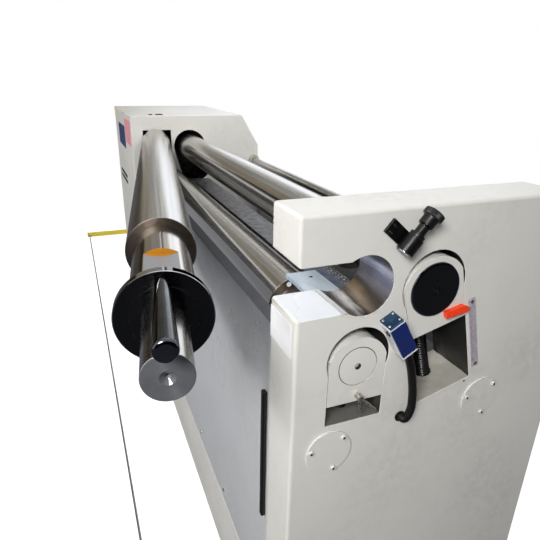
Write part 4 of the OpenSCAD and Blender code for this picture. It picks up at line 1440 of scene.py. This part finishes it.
# Painted glints: a thin bright zinc bar on each screw stands for the glint on its slot.
slots = None
for spot in screw_spots:
    glint_bar = block((0, -0.0034, -0.0005), (0.0019, 0.0034, 0.0005), 0.0001, 1)
    slots = merge(slots, glint_bar, facing(spot, X_DIR, LATCH_UP))
show("latch_screw_glint_bars", slots, zinc_steel, on="frame")
print("latch bracket ready")

# %% [markdown]
# The latch's axis leans to the rear, so all its pieces are turned on one tilted line. Barrel and ring
# stay on the frame. Pin and knob ride on the latch's own body, which slides in and out along that line.

# %% Latch barrel, pin and knob
barrel_from, barrel_to = reach("latch_barrel", LATCH_BASE, LATCH_UP)
COLLAR_R, COLLAR_H, BARREL_R = 0.012, 0.006, 0.0085
PIN_R = 0.005
pin_hole = PIN_R + 0.0001
barrel_outline = [(barrel_from, pin_hole), (barrel_from, COLLAR_R), (barrel_from + COLLAR_H, COLLAR_R),
                  (barrel_from + COLLAR_H, BARREL_R), (barrel_to, BARREL_R), (barrel_to, pin_hole)]
show("latch_barrel_turned", turned(eased(barrel_outline, 0.0009, 2), 64), black_plastic, "latch_barrel",
     place=latch_line)
ring_from, ring_to, RING_R = bracket_low - 0.0006, bracket_low + 0.0005, 0.0093
bush_ring = [(ring_from, pin_hole), (ring_from, RING_R), (ring_to, RING_R)]
show("latch_bush_ring", turned(eased(bush_ring, 0.0004, 2), 48), bright_steel, on="frame",
     place=latch_line)

pin_from, pin_to = reach("latch_pin", LATCH_BASE, LATCH_UP)
show("latch_pin_turned", round_bar(pin_from, pin_to, PIN_R, 0.0012, 40), bright_steel, "latch_pin",
     place=latch_line)

knob_from, knob_to = reach("latch_knob", LATCH_BASE, LATCH_UP)
KNOB_R, SKIRT_R, KNOB_H = 0.016, 0.012, 0.0105
knob_base = knob_to - KNOB_H


def knurl(radius, depth=0.00035, count=44):
    """A radius that waves round the axis, for the grip."""
    return lambda a: radius - depth + depth * math.cos(count * a)


def knob_shape():
    """A plain skirt below and a knurled grip above, with a shallow dish in its top."""
    e = 0.0014
    skirt = [(knob_from, 0.0096), (knob_from, SKIRT_R - 0.0008), (knob_from + 0.0008, SKIRT_R),
             (knob_base - 0.0010, SKIRT_R), (knob_base, SKIRT_R + 0.0006)]
    grip = [(knob_base, KNOB_R - e), (knob_base + e, knurl(KNOB_R)), (knob_to - e, knurl(KNOB_R)),
            (knob_to - e * 0.4, KNOB_R - e * 0.7), (knob_to, KNOB_R - e * 1.6)]
    dish = [(knob_to, 0.0105), (knob_to - 0.0007, 0.0095), (knob_to - 0.0007, 0)]
    return turned(skirt + grip + dish, 220)


show("latch_knob_turned", knob_shape(), black_plastic, "latch_knob", place=latch_line)
print("latch pin from", round(pin_from, 4), "knob to", round(knob_to, 4))

# %% [markdown]
# ## The limit switch
# The switch tells the controller that the roll is open. A pale base carries a deep blue cover. A lighter
# blue head with a sloped face is held by four screws. The lead leaves through a gland at the bottom.

# %% Limit switch
SWITCH_UP = Vector((0, -math.sin(SWITCH_LEAN), math.cos(SWITCH_LEAN)))
SWITCH_SIDE = Vector((0, math.cos(SWITCH_LEAN), math.sin(SWITCH_LEAN)))
switch_frame = axes_at(SWITCH_AT, X_DIR, SWITCH_SIDE, SWITCH_UP)
SWITCH_T, SWITCH_W, BAND = 0.028, 0.030, 0.0030


def switch_body():
    """A pale base with a band at each end and a blue cover between them, in the switch's own frame."""
    half = SWITCH_W / 2
    band_from, band_to = SWITCH_T - 0.0040, SWITCH_T - 0.0004
    shape = block((0, -half, -SWITCH_L), (SWITCH_T - 0.0035, half, -0.0002), 0.0010)
    merge(shape, block((band_from, -half, -SWITCH_L), (band_to, half, -SWITCH_L + BAND), 0.0006))
    merge(shape, block((band_from, -half, -BAND), (band_to, half, -0.0002), 0.0006))
    cover = block((0.0060, -half + 0.0006, -SWITCH_L + BAND), (SWITCH_T, half + 0.0003, -BAND), 0.0010)
    for face in cover.faces:
        face.material_index = 1
    return merge(shape, cover)


show("limit_switch_case", switch_body(), [pale_plastic, blue_plastic], "limit_switch_body",
     place=switch_frame)
head = bevel(cleaned("limit_switch_head"), 0.0007, 2, angle=40)
show("limit_switch_cap", head, blue_end, "limit_switch_head")

CAP_RISE = 0.004
cap_run = SWITCH_T - 0.004
tilt = Vector((CAP_RISE, 0, cap_run)).normalized()
cap_screws = []
for side in (-0.0100, 0.0100):
    for run in (0.0045, 0.0210):
        local = Vector((SWITCH_T - 0.002 - run, side, 0.002 + CAP_RISE * run / cap_run))
        cap_screws.append(facing(switch_frame @ local, switch_frame.to_3x3() @ tilt))
show("switch_cap_screws", many(lambda: pan_screw(0.0021, 0.0011), cap_screws), zinc_steel, on="frame")

plug_place = switch_frame @ facing((0.0165, -SWITCH_W / 2, -0.0125), -Y_DIR)
show("switch_plug", stud(0.0052, 0.0016, 0.0006), satin_black, on="frame",
     place=plug_place)
print("limit switch ready")

# %% [markdown]
# The cable must not end in thin air. It leaves the switch through a hexagon gland with a tapered
# sleeve, and it goes into the housing through a flat rubber ring.

# %% Cable gland and the cable's finish
GLAND_L, GLAND_ACROSS = 0.013, 0.0225
cable_hole = CABLE_R + SNUG


def gland():
    """A hexagon nut with a tapered sleeve that the cable leaves through."""
    nut = [(0, cable_hole), (0, hexagon(GLAND_ACROSS)), (0.0060, hexagon(GLAND_ACROSS))]
    sleeve = [(0.0066, 0.0102), (GLAND_L - 0.002, 0.0096), (GLAND_L, 0.0084), (GLAND_L, cable_hole)]
    return turned(nut + sleeve, 60)


gland_place = line(cable_exit - SNUG * cable_out, cable_out, X_DIR)
show("cable_gland", gland(), black_plastic, on="frame", place=gland_place)
cable.data.materials.append(black_rubber)
show("cable_wall_ring", collar(cable_hole, 0.0105, 0.0022, 0.0005, 2, 48), black_rubber, on="frame",
     place=facing((OUT_X, route[-1].y, route[-1].z), X_DIR))
print("gland ready")

# %% [markdown]
# ## Small parts on the end housing
# Two round covers close the adjuster bores, each held by three socket screws. A scale runs beside the
# rear slot and an orange pointer rides on the bearing block. A grease fitting with two bent legs serves
# the bottom block, and the threaded adjusters stand in the slots below the blocks.

# %% Round covers and their socket screws
COVER_R, COVER_SCREWS_R = 0.043, 0.0365
cover_low, cover_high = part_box("adjuster_covers")
cover_t = cover_high.x - OUT_X
COVER_AT = [Vector((OUT_X, cover_high.y - COVER_R, cover_high.z - COVER_R)),
            Vector((OUT_X, cover_low.y + COVER_R, cover_low.z + COVER_R))]
cover_outline = [(0, 0), (0, COVER_R), (cover_t, COVER_R), (cover_t, 0)]
covers = many(lambda: turned(eased(cover_outline, 0.0009, 3), 128), [facing(c, X_DIR) for c in COVER_AT])
show("round_covers", covers, housing_paint, "adjuster_covers")
screw_at = []
for centre in COVER_AT:
    for angle in (45, 165, 285):
        y, z = math.cos(math.radians(angle)), math.sin(math.radians(angle))
        screw_at.append(facing(centre + Vector((cover_t, y * COVER_SCREWS_R, z * COVER_SCREWS_R)), X_DIR))


def painted_screw():
    """A socket screw that was painted over, but not in its dark well."""
    shape = socket_screw(0.0045, 0.0040, 0.0045, 0.0024)
    paint_faces(shape, 1, lambda c, n: math.hypot(c.y, c.z) < 0.0025)
    return shape


show("round_cover_screws", many(painted_screw, screw_at), [housing_paint, dark_steel], on="frame")
# Painted shade: a small dark stud stands where a small hole is, for the darkness inside it.
small_hole = facing(COVER_AT[0] + Vector((0, -0.0446, 0.0452)), X_DIR)
show("hole_shade_stud", stud(0.0020, 0.0006, 0.0002, 24), dark_steel, on="frame",
     place=small_hole)
print("round covers ready")

# %% [markdown]
# A leaning strip shows how far the rear roll has been moved, and an orange pointer on the bearing
# block runs along it. Every fifth line is longer. There are no numbers, only the graduations.

# %% Scale strip with its engraved lines and two screws, and the pointer
SLOT_LEAN = math.radians(15)
strip_up = Vector((0, -math.sin(SLOT_LEAN), math.cos(SLOT_LEAN)))
strip_side = Vector((0, strip_up.z, -strip_up.y))
strip_frame = axes_at((OUT_X, REAR_AXIS.y, REAR_AXIS.z), X_DIR, strip_side, strip_up)
to_strip = strip_frame.inverted()
strip_points = [to_strip @ v.co for v in frame["nodes"]["scale_strip"].data.vertices]
S_LOW = Vector([min(p[i] for p in strip_points) for i in range(3)])
S_HIGH = Vector([max(p[i] for p in strip_points) for i in range(3)])
strip_t = S_HIGH.x - S_LOW.x
show("scale_plate", block(S_LOW, S_HIGH, 0.0004), scale_metal, "scale_strip", place=strip_frame)
TICKS, TICK_STEP, TICK_W, LONG_TICK, SHORT_TICK = 25, 0.0048, 0.0006, 0.0060, 0.0036
tick_y, first_z = S_LOW.y + 0.0012, S_LOW.z + 0.016
ticks = None
for i in range(TICKS):
    z = first_z + i * TICK_STEP
    length = LONG_TICK if i % 5 == 0 else SHORT_TICK
    ticks = block((strip_t - 0.0002, tick_y, z), (strip_t + 0.00015, tick_y + length, z + TICK_W),
                  0.00005, 1, ticks)
show("scale_ticks", ticks, satin_black, on="frame", place=strip_frame)
middle, screw_in = (S_LOW.y + S_HIGH.y) / 2, 0.0065
strip_screws = [strip_frame @ facing((strip_t, middle, z), X_DIR)
                for z in (S_LOW.z + screw_in, S_HIGH.z - screw_in)]
show("scale_screws", many(lambda: pan_screw(0.0038, 0.0022), strip_screws), zinc_steel, on="frame")

pointer = bevel(cleaned("rear_pointer"), 0.0008, 2, angle=40)
show("rear_pointer_cast", pointer, orange_plastic, "rear_pointer")
pointer_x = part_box("rear_pointer")[1].x
dimples = [strip_frame @ facing((pointer_x - OUT_X, y, -0.0555), X_DIR) for y in (0.024, 0.037)]
show("pointer_screws", many(lambda: pan_screw(0.0030, 0.0008), dimples), orange_plastic, on="rear_carriage")
print("scale and pointer ready")

# %% [markdown]
# A hexagon stub carries two thin tubes that end in grease nipples. They are turned one by one on
# their own lines and then joined, since they move with the bottom block as one piece.

# %% Grease fitting and its two legs
GREASE_AT = Vector((OUT_X, PIVOT.y + 0.003, BOTTOM_AXIS.z - 0.055))
TUBE_R, END_R, UNION_ACROSS, STUB_ACROSS = 0.0024, 0.0030, 0.0066, 0.0098


def leg_direction(angle):
    """A direction along the housing's face, by its angle from straight up towards the front."""
    return Vector((0, -math.sin(math.radians(angle)), math.cos(math.radians(angle))))


def grease_leg(length):
    """A thin tube with a union nut at its root and a nipple at its end."""
    union = [(0, END_R), (0.006, END_R), (0.006, hexagon(UNION_ACROSS)), (0.012, hexagon(UNION_ACROSS))]
    tube = [(0.0122, TUBE_R), (length - 0.008, TUBE_R)]
    nipple = [(length - 0.007, END_R), (length - 0.002, END_R), (length, 0.0016), (length, 0)]
    return turned(union + tube + nipple, 36)


stub_outline = [(0, 0), (0, hexagon(STUB_ACROSS)), (0.006, hexagon(STUB_ACROSS)), (0.0062, 0.0048),
                (0.014, 0.0048), (0.014, 0)]
fitting = merge(None, turned(stub_outline, 36), facing(GREASE_AT, X_DIR))
root = GREASE_AT + Vector((0.008, 0, 0))
for length, angle in ((0.032, 185), (0.050, 225)):
    merge(fitting, grease_leg(length), line(root, leg_direction(angle), X_DIR))
show("grease_nipples", fitting, zinc_steel, "grease_fitting")
print("grease fitting ready")

# %% [markdown]
# The adjusters push the blocks up. A true helix would cost many faces for screws that stand half
# hidden in their slots. Rings of equal spacing look the same from outside and are closed meshes.

# %% Threaded adjusters under the blocks
def threaded(start, end, radius, pitch=0.0030, depth=0.0010):
    """A bar whose outline rises and falls like a thread."""
    count = int((end - start) / pitch)
    outline = [(start, 0), (start, radius - depth)]
    for i in range(count):
        x = start + i * pitch
        outline += [(x + pitch * 0.30, radius), (x + pitch * 0.55, radius)]
        outline += [(x + pitch * 0.95, radius - depth)]
    return turned(outline + [(end, radius - depth), (end, 0)], 48)


screw_low, screw_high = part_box("bottom_screw")
screw_r = (screw_high.x - screw_low.x) / 2
show("bottom_adjuster", threaded(screw_low.z, screw_high.z, screw_r), dark_steel, "bottom_screw",
     place=facing(((screw_low.x + screw_high.x) / 2, PIVOT.y, 0), Z_DIR))
screw_low, screw_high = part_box("rear_screw")
screw_r = (screw_high.x - screw_low.x) / 2
adjuster_base = Vector(((screw_low.x + screw_high.x) / 2, REAR_AXIS.y, REAR_AXIS.z))
screw_from, screw_to = reach("rear_screw", adjuster_base, strip_up)
show("rear_adjuster", threaded(screw_from, screw_to, screw_r, pitch=0.0058, depth=0.0020), satin_black,
     "rear_screw", place=line(adjuster_base, strip_up, X_DIR))
print("adjusters ready")

# %% [markdown]
# ## The studio
# The machine stands on a pale floor that runs out to plain white. A plain floor colour would grey the
# view, so the floor glows a little to the eye, and it turns to white a few metres out. It still takes
# the machine's shadow.

# %% Floor paint
FLOOR_FADE_FROM, FLOOR_FADE_TO = 1.6, 3.4
FLOOR_GLOW, WORLD_FILL = 0.72, 0.13
WHITE = (1, 1, 1, 1)


def eye_rays(tree):
    """One for rays that meet the eye: straight, reflected or through glass."""
    path = node(tree, "LightPath").outputs
    seen = maths(tree, "MAXIMUM", path["Is Camera Ray"], path["Is Glossy Ray"])
    return maths(tree, "MAXIMUM", seen, path["Is Transmission Ray"])


def floor_material():
    """Pale matt floor that keeps shadows near the machine and runs out to plain white."""
    made, tree, shader = start_material("pale floor", roughness=0.9, Base_Color=(0.5, 0.5, 0.5, 1))
    where = node(tree, "NewGeometry").outputs["Position"]
    far = node(tree, "VectorMath", {0: where}, operation="LENGTH").outputs["Value"]
    fade = stretch(tree, far, FLOOR_FADE_FROM, FLOOR_FADE_TO)
    seen = eye_rays(tree)
    glow = node(tree, "Emission", {"Color": WHITE, "Strength": maths(tree, "MULTIPLY", seen, FLOOR_GLOW)})
    lit = node(tree, "AddShader", {0: shader.outputs[0], 1: glow.outputs[0]})
    white = node(tree, "Emission", {"Color": WHITE, "Strength": 1.0})
    mixed = node(tree, "MixShader", {0: maths(tree, "MULTIPLY", fade, seen), 1: lit.outputs[0],
                                     2: white.outputs[0]})
    output = next(n for n in tree.nodes if n.type == "OUTPUT_MATERIAL")
    tree.links.new(mixed.outputs[0], output.inputs["Surface"])
    return made


def square(half, z):
    """The corners of a level square round the middle of the scene."""
    return [(-half, -half, z), (half, -half, z), (half, half, z), (-half, half, z)]


print("floor paint ready")

# %% [markdown]
# Stage pieces are flat sheets that belong to the studio and not to the machine. The world is white to
# the eye and in reflections, and only a weak fill where it lights matt surfaces.

# %% Lay the floor and light the world
def plane(name, corners, material):
    """A flat piece of stage through the corners."""
    shape = bmesh.new()
    shape.faces.new([shape.verts.new(corner) for corner in corners])
    data = bpy.data.meshes.new(name)
    shape.to_mesh(data)
    shape.free()
    data.materials.append(material)
    made = bpy.data.objects.new(name, data)
    bpy.context.scene.collection.objects.link(made)
    return made


def make_world(fill):
    """White to the eye and in reflections, and a weaker fill on matt surfaces."""
    world = bpy.data.worlds.new("studio")
    world.use_nodes = True
    tree = world.node_tree
    tree.nodes.clear()
    strength = stretch(tree, eye_rays(tree), 0.0, 1.0, fill, 1.0)
    ground = node(tree, "Background", {"Color": WHITE, "Strength": strength})
    output = node(tree, "OutputWorld")
    tree.links.new(ground.outputs[0], output.inputs["Surface"])
    bpy.context.scene.world = world


floor_z = cad_box[0].z
plane("floor", square(40, floor_z), floor_material())
make_world(WORLD_FILL)
print("floor and world ready")

# %% [markdown]
# A small window lamp at the front right gives the polished parts their glints, and a wide ceiling lamp
# fills the tops. A small lamp high in front throws the open roll's shadow on the apron. The fills in
# front, behind, at the left and over the far rolls keep every side readable. They and the high lamp are
# out of the reflections, because the cards below decide what the steel shows.

# %% Lamps
def soft_box(name, place, aim, size, power, spread=180, glossy=True):
    """A rectangular lamp at a place, turned to its aim. Its spread is in degrees, its power in watts."""
    data = bpy.data.lights.new(name, "AREA")
    data.shape = "RECTANGLE"
    data.size, data.size_y = size
    data.energy = power
    data.spread = math.radians(spread)
    lamp = bpy.data.objects.new(name, data)
    look = (Vector(aim) - Vector(place)).to_track_quat("-Z", "Y")
    lamp.matrix_world = Matrix.Translation(place) @ look.to_matrix().to_4x4()
    lamp.visible_camera = False
    lamp.visible_glossy = glossy
    bpy.context.scene.collection.objects.link(lamp)
    return lamp


soft_box("window", place=(2.55, -1.50, 2.20), aim=(1.0, -0.25, 1.0), size=(0.8, 0.6), power=24, spread=110)
soft_box("far fill", place=(0.5, 0.35, 1.9), aim=(-1.1, 0.0, 0.9), size=(0.8, 0.5), power=2.0, spread=80,
         glossy=False)
soft_box("ceiling", place=(-0.5, 0.1, 3.4), aim=(-0.4, 0.0, 1.0), size=(2.8, 1.6), power=14)
soft_box("front fill", place=(-1.9, -3.9, 1.8), aim=(-0.7, 0.0, 0.8), size=(2.4, 1.8), power=66, glossy=False)
soft_box("front high", place=(0.2, -2.4, 3.1), aim=(0.4, -0.3, 0.8), size=(0.40, 0.40), power=41,
         glossy=False)
soft_box("rear fill", place=(-0.3, 4.6, 1.3), aim=(0.0, 0.0, 0.7), size=(2.4, 1.4), power=120, glossy=False)
soft_box("left fill", place=(-4.9, 0.2, 1.3), aim=(0.0, 0.0, 0.7), size=(2.0, 1.4), power=90, glossy=False)
bpy.context.scene.view_settings.view_transform = "Standard"

# %% [markdown]
# Polished steel has hardly any colour of its own: it shows what stands round it. So cards hang beyond
# the far end like the slices of a cake, bright, pale, tan and dark, and each slice becomes a band along
# the rolls. One more card stands behind the apron's top edge, one lies just over the floor and one
# stands off to the right. Only reflections see the cards.

# %% Cards for the reflections
def card_material(name, colour, strength=1.0):
    """A card that glows in one colour."""
    made = bpy.data.materials.new(name)
    made.use_nodes = True
    tree = made.node_tree
    tree.nodes.clear()
    glow = node(tree, "Emission", {"Color": rgb(colour), "Strength": strength})
    output = node(tree, "OutputMaterial")
    tree.links.new(glow.outputs[0], output.inputs["Surface"])
    return made


def card(name, corners, material):
    """A card that only reflections see."""
    made = plane(name, corners, material)
    made.visible_camera = False
    made.visible_diffuse = False
    made.visible_shadow = False
    made.visible_transmission = False
    made.visible_volume_scatter = False
    return made


SECTORS_X, SECTORS_FROM, SECTORS_TO = -3.4, 0.2, 7.0


def sector(name, start, end, material):
    """A card between two angles round the rolls, measured from straight up towards the front."""
    def at(angle, radius):
        a = math.radians(angle)
        return (SECTORS_X, PIVOT.y - radius * math.sin(a), PIVOT.z + radius * math.cos(a))
    corners = [at(start, SECTORS_FROM), at(start, SECTORS_TO), at(end, SECTORS_TO), at(end, SECTORS_FROM)]
    return card(name, corners, material)


print("card helpers ready")

# %% Card colours
bright_card = card_material("bright card", "#f4f8ff", 1.55)
grey_card = card_material("grey card", "#97958f")
pale_card = card_material("pale card", "#d2d0cb")
violet_card = card_material("violet grey card", "#8f9096")
tan_card = card_material("tan card", "#8a8271")
dark_card = card_material("dark card", "#2c2722")
blue_card = card_material("blue grey card", "#5d6068")
brown_card = card_material("brown card", "#4a433a")
black_card = card_material("black card", "#141416")
print("card colours:", bright_card.name, pale_card.name, tan_card.name, dark_card.name)

# %% Hang the cards
sector("card_bright", -56, -44, bright_card)
sector("card_bright_wide", -80, -59, bright_card)
sector("card_a", -42, -24, pale_card)
sector("card_b", -24, -18, dark_card)
sector("card_c", -14, 22, grey_card)
sector("card_d", 22, 40, tan_card)
sector("card_e", 40, 58, tan_card)
sector("card_f", 58, 84, dark_card)
sector("card_g", 84, 130, brown_card)
sector("card_h", 130, 178, blue_card)
sector("card_i", -92, -84, dark_card)
sector("card_j", -134, -100, brown_card)
sector("card_k", -178, -134, dark_card)


def upright(from_corner, to_corner):
    """The corners of an upright rectangle between two opposite corners."""
    (x0, y0, z0), (x1, y1, z1) = from_corner, to_corner
    return [(x0, y0, z0), (x1, y1, z0), (x1, y1, z1), (x0, y0, z1)]


behind_apron = apron_low.y + 0.013
card("apron_card", upright((-0.8, behind_apron, 0.80), (1.0, behind_apron, 0.928)), violet_card)
card("floor_card", square(9, floor_z + 0.0015), blue_card)
card("wall_card", upright((4.4, -7, 0), (4.4, 7, 4.0)), black_card)
